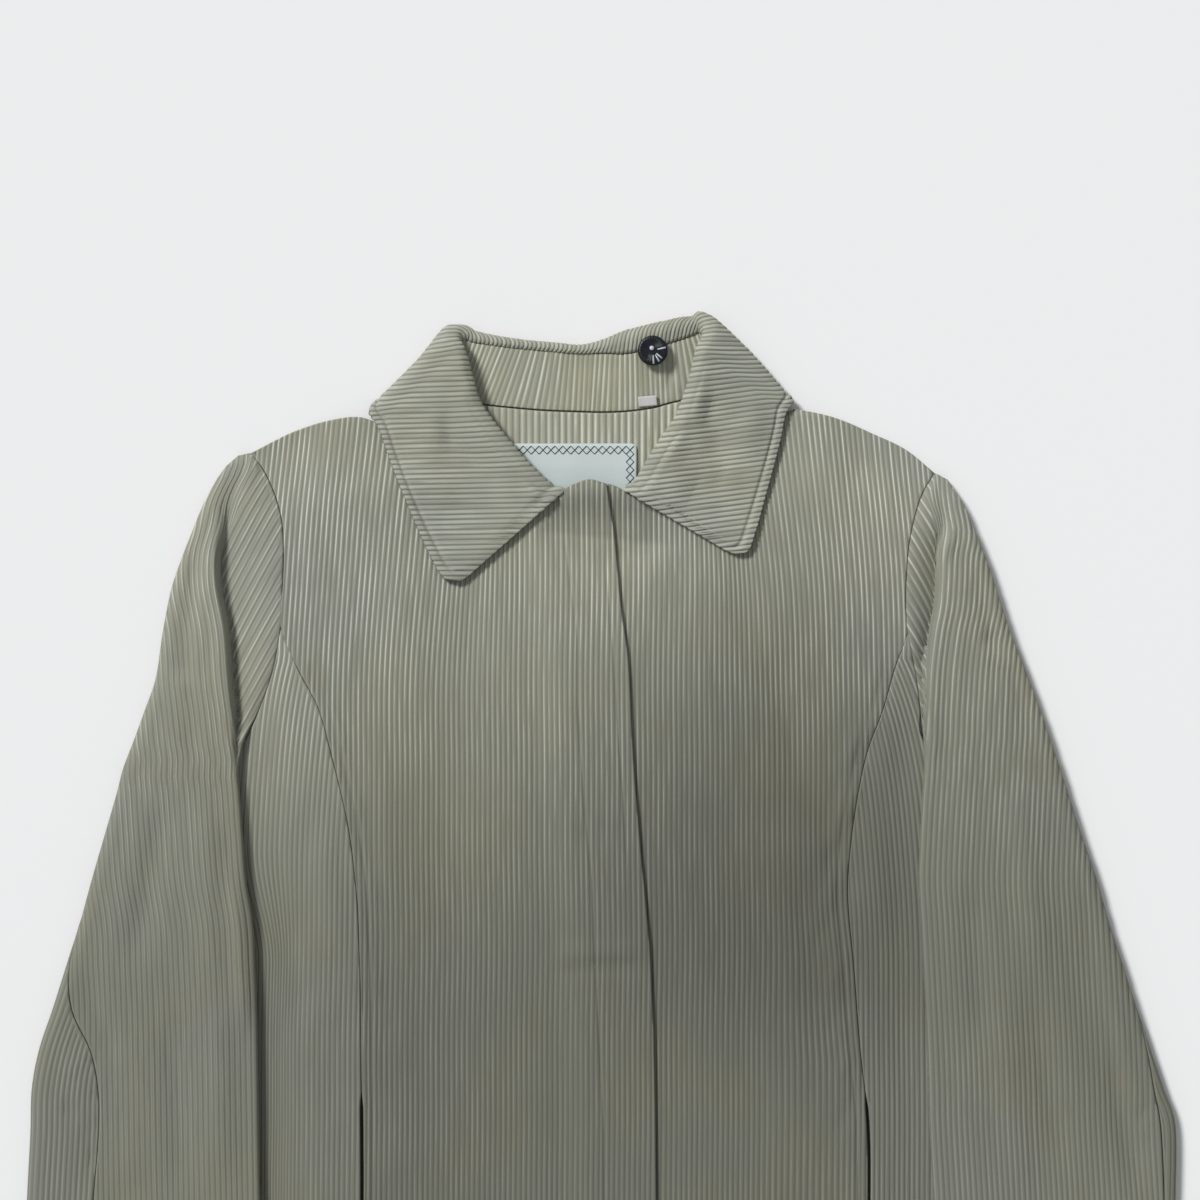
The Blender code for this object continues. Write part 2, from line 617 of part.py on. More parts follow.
def under_sleeve_grid(side):
    """Middle points of the under sleeve, with a row of guide points past each long edge."""
    grid = []
    for row in range(len(SLEEVE[side])):
        s = sleeve_row(side, row)
        turn = SLEEVE_TURN * s["scale"]
        floor = WALL / 2
        height = (s["crown"] - floor) / 2
        arc = math.pi / 2 * math.sqrt((turn**2 + height**2) / 2)
        reach = s["hind"] + arc - turn if s["hind"] > turn else 0.0
        if 0 < s["hind"] <= turn:
            reach = arc * math.acos(1 - s["hind"] / turn) / (math.pi / 2)
        travel = np.append(np.linspace(-arc - 4 * s["scale"], reach - 0.6 * GAP, 9), reach + 2.0)
        angle = np.clip(travel / arc, -1, 1) * math.pi / 2
        past = np.maximum(np.abs(travel) - arc, 0)
        outer_along = s["length"] - turn * (1 - np.cos(angle)) - past
        outer_z = floor + height + height * np.sin(angle)
        if s["fold"]:
            inner_along = np.array((0.0, 1.6, 4.5))
        else:
            inner_along = np.array((GAP / 2, 0.06 * s["length"], 0.12 * s["length"]))
        flat = np.linspace(inner_along[-1], outer_along[0], 5)[1:-1]
        along = np.concatenate([inner_along, flat, outer_along])
        plan = s["inner"] + along[:, None] * s["unit"]
        base = sleeve_base(side, plan[:, 0], plan[:, 1]) + floor
        z = np.concatenate([base[:6], np.maximum(outer_z, base[6:])])
        if s["fold"]:
            centre = inner_centre(side, s)
            z[0] = centre - GAP / 2
            z[1] = base[1] + 0.28 * (centre - base[1])
            before = np.array((*plan[1], 2 * centre - z[1]))
        else:
            before = beyond(np.column_stack([plan, z]))
        grid.append(np.vstack([before, np.column_stack([plan, z])]))
    return np.array(grid)


def add_sleeves(cloth):
    for side in ("right", "left"):
        for name, grid in (("under", under_sleeve_grid(side)), ("top", top_sleeve_grid(side))):
            normal = grid_normals(grid)
            add_wall(f"{name}_sleeve_{side}", grid[:, 1:-1], normal[:, 1:-1], WALL, cloth)


def through(controls, counts):
    """A smooth line through control points, with a count of steps for each stretch between them."""
    points = np.array(controls, float)
    gaps = np.linalg.norm(np.diff(points, axis=0), axis=1)
    slopes = np.diff(points, axis=0) / gaps[:, None]
    inner = (slopes[1:] * gaps[:-1, None] + slopes[:-1] * gaps[1:, None]) / (gaps[1:] + gaps[:-1])[:, None]
    tangents = np.vstack([slopes[:1], inner, slopes[-1:]])
    reach = 1.5 * np.minimum(np.append(gaps, gaps[-1]), np.append(gaps[0], gaps))
    made = [points[:1]]
    for k, count in enumerate(counts):
        t = np.linspace(0, 1, count + 1)[1:, None]
        made.append(
            (2 * t**3 - 3 * t**2 + 1) * points[k]
            + (t**3 - 2 * t**2 + t) * min(gaps[k], reach[k]) * tangents[k]
            + (3 * t**2 - 2 * t**3) * points[k + 1]
            + (t**3 - t**2) * min(gaps[k], reach[k + 1]) * tangents[k + 1]
        )
    return np.vstack(made)


def collar_plan(row):
    """Plan points of a collar section's controls."""
    neck, roll, edge = (np.array(row[k : k + 2], float) for k in (0, 2, 4))
    depth = row[6]
    to_neck = (neck - roll) / np.linalg.norm(neck - roll)
    to_edge = (edge - roll) / np.linalg.norm(edge - roll)
    near = min(3.2, 0.55 * depth)
    middle = roll + 0.42 * (edge - roll)
    return np.array((neck + 0.7 * (-to_neck), roll + depth * to_neck, roll + near * to_neck, roll,
                     roll + 3.8 * to_edge, middle, edge))


def on_front(side, plan):
    """Height of the fall's middle surface where it lies on a front."""
    return front_top(side, plan[..., 0], plan[..., 1]) + EDGE_FRONT_GAP + COLLAR_WALL / 2


def front_controls(side, row):
    plan = collar_plan(row)
    lie = on_front(side, plan)
    neck = float(front_top(side, row[0], row[1])) - WALL / 2
    neck = max(neck, NECK_BACK_Z + 3.4)
    lift = NOSE_LIFT * float(rise((5 - row[3]) / 36))
    z = (neck, SEAM_FRONT_Z + lift, CREST_FRONT_Z + lift, ROLL_FRONT_Z + lift, OVER_FRONT_Z + lift,
         max(lie[5], MIDDLE_FRONT_Z), lie[6])
    return np.column_stack([plan, z])


def back_controls(row):
    low = COLLAR_WALL / 2
    crest = row[7] + 1.0
    z = (NECK_BACK_Z, row[7], crest, (crest + low) / 2, low + 0.05, low, low)
    return np.column_stack([collar_plan(row), z])


def nose_controls(side, front, back):
    """Sections that swing out and over from the last one on the front to the first one on the back."""
    direction, swing = NOSE_OUT[side]
    out = np.array(swing, float)[:, None] * np.array((*direction, 0.0))
    made = []
    for degrees in NOSE_TURN:
        angle = math.radians(degrees)
        made.append((front + back) / 2 + (front - back) / 2 * math.sin(angle) + out * math.cos(angle))
    return made


def collar_grid():
    """Middle points of every collar section; the first four belong to the stand, the others to the fall."""
    right = [front_controls("right", row) for row in COLLAR_FRONT["right"]]
    left = [front_controls("left", row) for row in COLLAR_FRONT["left"]]
    back = [back_controls(row) for row in COLLAR_BACK]
    over_right = nose_controls("right", right[-1], back[0])
    over_left = nose_controls("left", left[-1], back[-1])
    grid = []
    for controls in right + over_right + back + over_left[::-1] + left[::-1]:
        neck, seam = controls[:2]
        unit = (seam - neck) / np.linalg.norm(seam - neck)
        stand = np.linspace(neck, seam - 0.85 * GAP * unit, 4)
        fall = through(controls[1:], (1, 2, 2, 3, 3))
        fall[0] += 0.85 * GAP * unit
        grid.append(np.vstack([stand, fall]))
    grid = np.array(grid)
    for side, rows in (("right", slice(0, len(right))), ("left", slice(-len(left), None))):
        part = grid[rows, 10:]
        part[..., 2] = np.maximum(part[..., 2], on_front(side, part))
    grid[..., 2] = np.maximum(grid[..., 2], COLLAR_WALL / 2)
    return grid


def add_collar(cloth):
    grid = collar_grid()
    normal = grid_normals(grid)
    join = normal[:, 3] + normal[:, 4]
    normal[:, 3:5] = (join / np.linalg.norm(join, axis=1)[:, None])[:, None]
    add_wall("collar_fall", grid[:, 4:], normal[:, 4:], COLLAR_WALL, cloth)
    add_wall("collar_stand", grid[:, :4], normal[:, :4], STAND_WALL, cloth)


def rectangle(centre, size, steps=1):
    (x, down), (width, height) = centre, size
    corners = np.array([(-1, -1), (1, -1), (1, 1), (-1, 1)], float) * (width / 2, height / 2) + (x, down)
    loop = []
    for start, end in zip(corners, np.roll(corners, -1, 0)):
        loop += [tuple(start + (end - start) * k / steps) for k in range(steps)]
    return loop


def add_neck_pieces(facing_finish, label_finish, tag_finish):
    """Facing on the back, the label on the facing and the tag on both."""
    top = [point for point in BACK_NECK if abs(point[0] - NECK_MID) < 70]
    loop = top + [(56, 45), (38, 78), (0, 86), (-40, 86), (-72, 70), (-82, 40)]
    levels = (level_line(NECK_RAMP_FROM, 25),)

    def on_back(x, down):
        return neck_lift(x, down) + WALL + GAP

    def on_facing(x, down):
        return on_back(x, down) + FACING_WALL + GAP

    add_panel("back_neck_facing", inset(loop, 0.6), (26, 22), on_back, FACING_WALL, facing_finish, levels)
    add_panel("label", rectangle(LABEL_AT, LABEL_SIZE, 3), (24, 16), on_facing, LABEL_WALL, label_finish, levels)
    slope = (9.6 - NECK_BACK_Z) / 35.0

    def on_stand(x, down):
        return NECK_BACK_Z + STAND_WALL / 2 + GAP + slope * (5.0 - down)

    add_panel("size_tag", rectangle(TAG_AT, TAG_SIZE), (6, 5), on_stand, TAG_WALL, tag_finish)


def add_button(finish):
    """Turned button with a dished face, and a short shank down to the stand."""
    radius = BUTTON_DIAMETER / 2
    rest = 11.3
    profile = ((0.0, 0.0), (2.6, 0.0), (2.6, 1.1), (radius - 1.4, 1.3), (radius, 2.4), (radius - 0.7, 4.0),
               (radius - 2.4, 4.3), (2.0, 3.7), (0.0, 3.7))
    steps = 28
    points = []
    for radial, height in profile[1:-1]:
        for k in range(steps):
            angle = 2 * math.pi * k / steps
            points.append((BUTTON_AT[0] + radial * math.cos(angle), BUTTON_AT[1] + radial * math.sin(angle),
                           rest + height))
    rings = len(profile) - 2
    faces = []
    for ring in range(rings - 1):
        for k in range(steps):
            a, b = ring * steps + k, ring * steps + (k + 1) % steps
            faces.append((a, b, b + steps, a + steps))
    faces.append(tuple(range(steps)))
    faces.append(tuple(range((rings - 1) * steps, rings * steps)))
    add_mesh("collar_button", points, faces, finish)


def build():
    clear_scene()
    cloth = material("corduroy", CLOTH_COLOUR, 0.85)
    add_body(cloth)
    add_sleeves(cloth)
    add_collar(cloth)
    add_neck_pieces(
        material("facing_corduroy", FACING_COLOUR, 0.85),
        material("label_satin", LABEL_COLOUR, 0.4),
        material("tag_tape", TAG_COLOUR, 0.6),
    )
    add_button(material("black_gloss", BUTTON_COLOUR, 0.12))


build()
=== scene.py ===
import math

import bpy
import numpy as np
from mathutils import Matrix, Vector
from mathutils.geometry import delaunay_2d_cdt


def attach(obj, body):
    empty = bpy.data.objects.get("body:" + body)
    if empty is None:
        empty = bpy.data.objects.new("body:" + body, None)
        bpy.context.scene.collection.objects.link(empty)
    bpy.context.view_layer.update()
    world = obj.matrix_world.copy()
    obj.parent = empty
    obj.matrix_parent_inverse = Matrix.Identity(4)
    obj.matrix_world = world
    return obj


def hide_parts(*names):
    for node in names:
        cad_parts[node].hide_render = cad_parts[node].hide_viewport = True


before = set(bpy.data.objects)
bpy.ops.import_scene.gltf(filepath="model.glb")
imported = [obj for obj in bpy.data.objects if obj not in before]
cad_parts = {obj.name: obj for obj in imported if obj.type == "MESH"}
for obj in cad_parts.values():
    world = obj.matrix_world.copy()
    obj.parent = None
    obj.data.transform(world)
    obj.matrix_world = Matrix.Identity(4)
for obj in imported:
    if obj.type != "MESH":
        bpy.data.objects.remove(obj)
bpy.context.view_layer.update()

# Plan sizes are millimetres: x to the wearer's left, down from the back neck to the hem, z over the surface.
coat = {
    "centreDown": 473.4,
    "wall": 1.6,
    "gap": 0.4,
    "puff": 5.5,
    "puffFrom": 4.0,
    "puffRun": 40.0,
    "hemPuff": 1.5,
    "hemRun": 220.0,
    "facingStack": 3.6,
    "shoulderRun": 50.0,
    "lap": 34.0,
    "lapRamp": 26.0,
    "lapLevel": 5.0,
    "lapRise": 2.6,
    "neckMid": -12.0,
    "neckHalf": 142.0,
    "neckFade": 30.0,
    "neckRamp": (40.0, 90.0),
    "collarWall": 2.4,
    "hem": 1000.0,
    "seamGap": 0.3,
    "stack": (54.0, 83.0, 8.6),
    "stackHalf": 62.0,
    "stackFade": 26.0,
    "closing": 4.0,
    "pocket": (417.0, 580.0),
    "pocketGap": 0.9,
    "clear": 0.02,
}
wale = {"pitch": 3.1, "height": 0.58, "sunk": 0.75, "steps": 6, "hiddenSteps": 3, "rowStep": 5.0,
        "farRowStep": 10.0, "farFrom": 490.0}
drop = wale["height"] * wale["sunk"]  # how far a skin lies under the surface that its wales rise through

shoulder = {
    "right": ((-210.5, 31.5), (-183, 18), (-161, 11.6), (-144, 10), (-134, 12.6), (-118, 12), (-103, 4)),
    "left": ((92, 5), (102, 10), (111, 8), (116, 5.4), (124, 6.4), (142.8, 10.8), (164.4, 19.8), (186, 30.6),
             (201.5, 43.5)),
}
frontNeck = {
    "right": ((-98.5, 7.2), (-96, 9), (-90, 20), (-80, 33), (-66, 45), (-50, 53.5), (-36, 58.5), (-26, 57),
              (-21, 53.6), (-14, 50.2), (-7, 48), (4, 50.5)),
    "left": ((-3, 51), (5, 50.5), (11, 52.6), (16, 55.5), (22, 57.5), (34, 57.5), (48, 52.5), (62, 43),
             (73.5, 31), (81, 19.5), (85.5, 12.4), (88, 9.5)),
}
backNeck = ((-103, 4), (-90, 2.5), (-78, 2), (-60, 3.8), (-35, 6), (-12, 6.9), (0, 7.2), (14, 6.8), (30, 4.8),
            (46, 0.8), (60, -2), (78, -1.5), (92, 5))
# The fronts begin to rise off the back below this line
riseFrom = ((-210, 32), (-160, 12), (-110, 20), (-52, 36), (-24, 62), (0, 70), (26, 62), (52, 36), (100, 18),
            (142, 12), (202, 44))
princess = {
    "right": ((-180.6, 162.6), (-169.2, 184.2), (-161.4, 211.8), (-151.2, 255), (-146.4, 292), (-144, 341),
              (-143.4, 390), (-142.8, 440), (-143, 500), (-148, 580), (-158, 720), (-170, 870), (-180, 1001)),
    "left": ((177, 161), (170.4, 184), (161.5, 208), (152, 255), (148.8, 296), (152.4, 341), (156.2, 390),
             (160.6, 430), (161.6, 500), (164, 580), (170, 720), (180, 870), (190, 1001)),
}
sideSeam = {
    "right": ((-228, 222), (-222, 300), (-221, 380), (-238, 470), (-262, 600), (-283, 780), (-300, 1001)),
    "left": ((212, 222), (209, 300), (212, 380), (232, 470), (257, 600), (279, 780), (298, 1001)),
}
lapEdge = ((4, 53), (8, 77), (12.6, 124), (16.2, 150), (19.8, 213), (24.6, 272), (30, 332), (32, 378),
           (33.6, 470), (35, 640), (36, 820), (36, 1001))
# Sleeve sections: armhole or inner fold x and down, width of the hollow, depth of the step over it,
# outer x and down, inset of the hind seam from the outer fold
sleeve = {
    "right": (
        (-210.5, 31.5, 3, 0, -218, 33.4, 0),
        (-204.6, 38.5, 9, 0, -227.6, 43.6, 0),
        (-197, 52.2, 24, 0.1, -237.5, 61.5, 0),
        (-191.4, 69, 33, 0.5, -245, 79.8, 0),
        (-189.7, 88, 38, 0.9, -251, 95, 0),
        (-190.2, 110, 37, 1, -257.4, 114, 0),
        (-191.4, 137.4, 31, 1, -262.5, 140, 0),
        (-196.8, 165, 23.6, 1, -266.5, 167, 0),
        (-204, 184.2, 14.5, 1, -273, 186, 0),
        (-213.5, 204, 4.4, 1, -280, 205, 0),
        (-217.2, 222, 0, 1, -286.5, 222, 0),
        (-216.3, 236, 0, 1, -290, 236, 0),
        (-214.5, 262, 0, 1, -297.5, 262, 0),
        (-212.4, 288, 0, 1, -305, 288, 0),
        (-208.4, 314, 0, 1, -312, 314, 0),
        (-207, 340, 0, 1, -320, 340, 2),
        (-205.9, 366, 0, 1, -328.2, 366, 12),
        (-205.5, 390, 0, 1, -336.2, 390, 31),
        (-205.1, 414, 0, 1, -340.6, 414, 40),
        (-204.7, 440, 0, 1, -341.4, 440, 41),
        (-204, 480, 0, 1, -343.5, 480, 40),
        (-202.5, 525, 0, 1, -345, 525, 39),
        (-200.5, 570, 0, 1, -344.5, 570, 38),
        (-198.5, 615, 0, 1, -342, 615, 37),
        (-197, 660, 0, 1, -338, 660, 36),
    ),
    "left": (
        (201.5, 43.5, 3, 0, 209, 47.6, 0),
        (193.8, 56.4, 10, 0, 218.4, 62.5, 0),
        (188.5, 72, 17.5, 0.3, 226, 81, 0),
        (185.2, 88, 17.7, 0.8, 232, 96, 0),
        (183.8, 106, 18, 1, 237.5, 112, 0),
        (183.4, 123, 17.1, 1, 242, 126, 0),
        (184.4, 140, 13.2, 1, 247, 141, 0),
        (189.5, 163, 5.6, 1, 256, 164, 0),
        (192.5, 184, 1.8, 1, 263.5, 184, 0),
        (194.4, 204, 0.6, 1, 270.5, 204, 0),
        (194.6, 222, 0, 1, 276.5, 222, 0),
        (193.7, 236, 0, 1, 281, 236, 0),
        (192.3, 262, 0, 1, 289.3, 262, 0),
        (191.4, 288, 0, 1, 298.2, 288, 0),
        (192.9, 314, 0, 1, 305.5, 314, 0),
        (194.2, 340, 0, 1, 314, 340, 0),
        (195.5, 366, 0, 1, 322.3, 366, 0),
        (196.6, 390, 0, 1, 330, 390, 2),
        (197.4, 414, 0, 1, 338, 414, 6),
        (197.9, 436, 0, 1, 345, 436, 9),
        (200.4, 480, 0, 1, 345, 480, 7),
        (203, 525, 0, 1, 344.6, 525, 6),
        (205, 570, 0, 1, 344, 570, 6),
        (207, 615, 0, 1, 343, 615, 6),
        (209, 660, 0, 1, 342, 660, 6),
    ),
}
# Soft folds: start x and down, end x and down, half width, height (a trough is negative)
folds = (
    (108, 150, 128, 255, 30, -1.8),
    (122, 240, 146, 300, 22, -1.6),
    (-196, 318, -172, 362, 16, -1.4),
    (-165, 18, -135, 46, 20, -0.8),
    (120, 20, 158, 46, 20, -0.8),
    (285, 318, 320, 462, 15, -2.2),
    (-310, 350, -292, 392, 10, -1.4),
    (-262, 128, -262, 168, 14, -1.0),
    (-226, 92, -246, 190, 13, 1.2),
    (222, 92, 240, 200, 13, 1.2),
    (-285, 470, -240, 500, 18, -1.6),
    (285, 520, 235, 560, 20, -1.6),
    (-110, 560, -95, 900, 36, 1.6),
    (105, 600, 88, 940, 40, 1.6),
    (-235, 700, -225, 960, 26, 1.4),
    (232, 690, 224, 950, 26, 1.4),
)
# Small creases of the looks alone, in the same columns
creases = (
    (104, 160, 122, 235, 10, -1.4),
    (132, 250, 150, 292, 9, -1.4),
    (100, 262, 128, 345, 16, 1.3),
    (118, 300, 134, 372, 10, -1.2),
    (150, 205, 146, 262, 6, 1.0),
    (-24, 333, 24, 330, 4.5, 1.1),
    (-22, 341, 22, 338, 4, -1.1),
    (-16, 262, 20, 258, 6, -0.6),
    (-20, 66, 4, 82, 5, 0.8),
    (-120, 110, -108, 190, 16, 1.0),
    (-96, 210, -88, 330, 18, -1.0),
    (-132, 210, -124, 300, 9, 0.9),
    (-60, 150, -54, 260, 16, 0.8),
    (-84, 96, -74, 160, 10, -0.8),
    (60, 100, 66, 190, 14, 0.9),
    (84, 96, 92, 150, 9, -0.9),
    (40, 300, 46, 420, 12, -0.8),
    (-40, 400, -34, 520, 14, 0.8),
    (-130, 380, -118, 470, 14, 0.9),
    (110, 370, 118, 470, 16, 0.9),
    (-162, 30, -150, 52, 9, -1.6),
    (-138, 22, -126, 40, 8, -1.2),
    (140, 24, 160, 44, 9, -1.5),
    (112, 26, 124, 44, 8, -1.0),
    (170, 40, 176, 66, 6, 1.0),
    (-176, 60, -170, 110, 7, 0.8),
    (-176, 250, -182, 330, 8, -1.2),
    (-198, 276, -184, 372, 8, -3.6),
    (-166, 262, -156, 330, 8, 1.2),
    (-168, 372, -160, 430, 9, -0.9),
    (186, 300, 190, 400, 9, -1.6),
    (168, 262, 176, 350, 8, 1.0),
    (176, 180, 172, 230, 7, 1.0),
    (-232, 118, -236, 168, 5, -0.9),
    (-226, 40, -228, 78, 6, -1.3),
    (-206, 50, -214, 86, 5, 1.1),
    (-244, 70, -247, 150, 6, -1.6),
    (-247, 150, -243, 212, 7, -1.4),
    (-264, 154, -246, 164, 4, -1.5),
    (-262, 164, -248, 172, 4, 1.0),
    (-268, 96, -262, 128, 6, 1.0),
    (-214, 284, -211, 372, 8, 3.2),
    (208, 66, 213, 84, 4, -1.8),
    (214, 72, 206, 92, 3.5, 1.4),
    (216, 96, 213, 180, 5, 1.0),
    (230, 110, 236, 170, 6, -1.1),
    (232, 142, 250, 152, 4.5, -1.6),
    (228, 150, 248, 160, 4, 1.1),
    (246, 160, 262, 200, 6, -1.0),
    (-262, 250, -278, 330, 9, -1.9),
    (-236, 250, -232, 350, 9, 1.6),
    (-256, 380, -250, 470, 9, -2.0),
    (-228, 360, -226, 460, 9, 1.5),
    (-300, 410, -306, 480, 9, -1.2),
    (-306, 394, -299, 402, 3, -1.4),
    (-303, 412, -296, 418, 3, -1.2),
    (-302, 432, -295, 438, 3, -1.4),
    (-306, 452, -299, 458, 3, -1.2),
    (-320, 396, -312, 402, 3, 0.9),
    (-322, 424, -312, 428, 3, -0.9),
    (250, 240, 262, 330, 9, 1.8),
    (222, 300, 228, 380, 9, -1.9),
    (240, 380, 252, 470, 9, 1.6),
    (258, 360, 276, 450, 9, -1.8),
    (300, 330, 322, 420, 6, 1.6),
    (306, 400, 322, 470, 7, -1.5),
    (330, 424, 322, 430, 3, -1.2),
    (332, 444, 324, 450, 3, -1.0),
    (-330, 540, -290, 560, 10, -1.2),
    (320, 600, 280, 620, 10, -1.2),
    (-150, 640, -130, 700, 14, -1.0),
    (60, 700, 80, 760, 16, -1.0),
    (-60, 780, -40, 900, 20, 1.0),
    (150, 820, 130, 930, 16, -1.0),
)
# Short puckers that run in from the princess seams: down at the seam, reach, fall, half width, height
puckers = ((188, 16, 20, 4.0, 0.7), (206, 20, 26, 4.5, -0.7), (228, 13, 22, 3.6, 0.6),
           (251, 18, 30, 4.4, -0.8), (276, 15, 24, 4.0, 0.6), (297, 22, 34, 5.0, -0.8),
           (326, 14, 26, 4.0, 0.7), (352, 19, 30, 4.6, -0.6), (383, 15, 26, 4.2, 0.6),
           (409, 17, 30, 4.4, -0.6), (470, 20, 34, 5.0, 0.5), (540, 18, 36, 5.0, -0.5))
for side, inward in (("right", 1), ("left", -1)):
    downs, across = np.array(princess[side], float).T[::-1]
    for down, reach, lower, half, height in puckers:
        atSeam = float(np.interp(down, downs, across))
        creases += ((atSeam, down, atSeam + inward * reach, down + lower, half, height),)
print("tables ready")


# 3 t^2 - 2 t^3, from 0 to 1 with level ends
def rise(share):
    share = np.clip(share, 0, 1)
    return share * share * (3 - 2 * share)


# a cubic Hermite piece's weights at t from 0 to 1: of its start, the slope there, its end and the slope there
def hermite(t):
    return 2 * t**3 - 3 * t**2 + 1, t**3 - 2 * t**2 + t, 3 * t**2 - 2 * t**3, t**3 - t**2


# cubic Hermite curve through (xs, ys), its slopes from the neighbouring points
def soft(xs, ys, q):
    xs, ys = np.asarray(xs, float), np.asarray(ys, float)
    slope = np.gradient(ys, xs)
    q = np.clip(q, xs[0], xs[-1])
    k = np.clip(np.searchsorted(xs, q, "right") - 1, 0, len(xs) - 2)
    h = xs[k + 1] - xs[k]
    start, leaving, end, arriving = hermite((q - xs[k]) / h)
    return start * ys[k] + leaving * h * slope[k] + end * ys[k + 1] + arriving * h * slope[k + 1]


# x of a plan line at a given down
def xAt(line, down):
    rows = np.array(line, float)
    return soft(rows[:, 1], rows[:, 0], down)


# down of a plan line at a given x
def downAt(line, x):
    rows = np.array(line, float)
    return soft(rows[:, 0], rows[:, 1], x)


# x of a plan line of straight runs at a given down
def runAt(line, down):
    return np.interp(down, *np.array(line, float).T[::-1])


# shortest plan distance from points to a line of (x, down) points
def distanceTo(line, x, down):
    nearest = np.full(np.broadcast(x, down).shape, np.inf)
    line = np.array(line, float)
    for (x0, d0), (x1, d1) in zip(line[:-1], line[1:]):
        ax, ad = x1 - x0, d1 - d0
        share = np.clip(((x - x0) * ax + (down - d0) * ad) / (ax * ax + ad * ad), 0, 1)
        nearest = np.minimum(nearest, np.hypot(x - x0 - share * ax, down - d0 - share * ad))
    return nearest


# sum of bells across each fold's line: height * exp(-(aside / half width)^2), fading at both ends
def foldSum(table, x, down):
    total = np.zeros(np.broadcast(x, down).shape)
    for x0, d0, x1, d1, half, height in table:
        ax, ad = x1 - x0, d1 - d0
        length = math.hypot(ax, ad)
        share = ((x - x0) * ax + (down - d0) * ad) / length**2
        aside = ((x - x0) * ad - (down - d0) * ax) / length
        fade = rise((share + 0.2) / 0.4) * rise((1.2 - share) / 0.4)
        total = total + height * fade * np.exp(-((aside / half) ** 2))
    return total


# all folds and creases of the body and the sleeves
def creased(x, down):
    return foldSum(folds, x, down) + foldSum(creases, x, down)


# one smooth random number for each place of a line, from whole-number noise
def wander(n, seed):
    k = np.floor(n)
    t = rise(n - k)
    pick = lambda i: np.mod(np.sin((i + seed) * 127.1) * 43758.545, 1.0)
    return pick(k) * (1 - t) + pick(k + 1) * t


armholeRows = 10


# the armhole's line, from the shoulder down to the top of the side seam
def armhole(side):
    return [(row[0], row[1]) for row in sleeve[side][:armholeRows]] + [sideSeam[side][0]]


# the line that a sleeve presses the body down along, from above its armhole to the hem
def pressedLine(side):
    sign = -1 if side == "right" else 1
    inner = [(row[0], row[1]) for row in sleeve[side][armholeRows:]]
    past = [(float(xAt(sideSeam[side], down)), down) for down in (710, 780, 988)]
    return [(inner[0][0] + sign * 90, 100), (inner[0][0] + sign * 18, 160), *inner, *past]


pressed = {side: np.array(pressedLine(side), float) for side in ("right", "left")}


# the back climbs over the collar that is turned under it
def neckLift(x, down):
    low, high = coat["neckRamp"]
    along = np.clip((high - down) / (high - low), 0, 1)
    across = rise((coat["neckHalf"] + coat["neckFade"] - abs(x - coat["neckMid"])) / coat["neckFade"])
    return (coat["collarWall"] + coat["gap"]) * along * across


# the layered neck seam holds the tops of the fronts up: a straight ramp that ends in a crease
def neckStack(x, down):
    top, crease, high = coat["stack"]
    across = rise((coat["stackHalf"] - np.abs(x - coat["closing"])) / coat["stackFade"])
    return high * np.clip((crease - down) / (crease - top), 0, 1) * across


# The oval over the facing that the fronts keep clear of: centre's down, half sizes, and how it fades
facingOval = {"down": 5.0, "half": (72.0, 82.0), "reach": 1.35, "fade": 0.3}


# underside of the fronts: down at the sides and shoulders, puffed up between, and clear of the facing
def frontBottom(side, x, down):
    held = np.abs(np.interp(down, pressed[side][:, 1], pressed[side][:, 0]))
    fromSide = rise((held - np.abs(x) - coat["puffFrom"]) / coat["puffRun"])
    fromShoulder = rise((down - np.interp(x, *np.array(riseFrom, float).T)) / coat["shoulderRun"])
    height = coat["hemPuff"] + (coat["puff"] - coat["hemPuff"]) * rise((coat["hem"] - down) / coat["hemRun"])
    puff = fromSide * fromShoulder * (height + creased(x, down))
    halfX, halfD = facingOval["half"]
    away = np.hypot((x - coat["neckMid"]) / halfX, (down - facingOval["down"]) / halfD)
    stack = coat["facingStack"] * rise((facingOval["reach"] - away) / facingOval["fade"])
    puff = np.maximum(puff, 0) + neckStack(x, down)
    return neckLift(x, down) + coat["wall"] + coat["gap"] + np.maximum(puff, stack)


# the wearer's right front climbs onto the left one
def lapLift(x, down):
    hidden = runAt(lapEdge, down) - coat["lap"]
    return coat["lapRise"] * rise((x - hidden + coat["lapRamp"]) / (coat["lapRamp"] - coat["lapLevel"]))


neckEdge = {"middle": -4.0, "half": 30.0, "fade": 8.0, "run": 5.0, "fall": 2.0}


# along the neck between the collar's ends the fronts' upper edge rolls over: it falls by fall (1 - share)^2
def neckRoll(side, x, down):
    half = neckEdge["half"]
    edge = downAt(sorted(frontNeck[side]), np.clip(x, -half, half))
    share = np.clip((down - edge) / neckEdge["run"], 0, 1)
    across = rise((half - np.abs(x - neckEdge["middle"])) / neckEdge["fade"])
    return neckEdge["fall"] * (1 - share) ** 2 * across


# upper side of a front
def frontTop(side, x, down):
    top = frontBottom(side, x, down) + coat["wall"] - neckRoll(side, x, down)
    return top + lapLift(x, down) if side == "right" else top


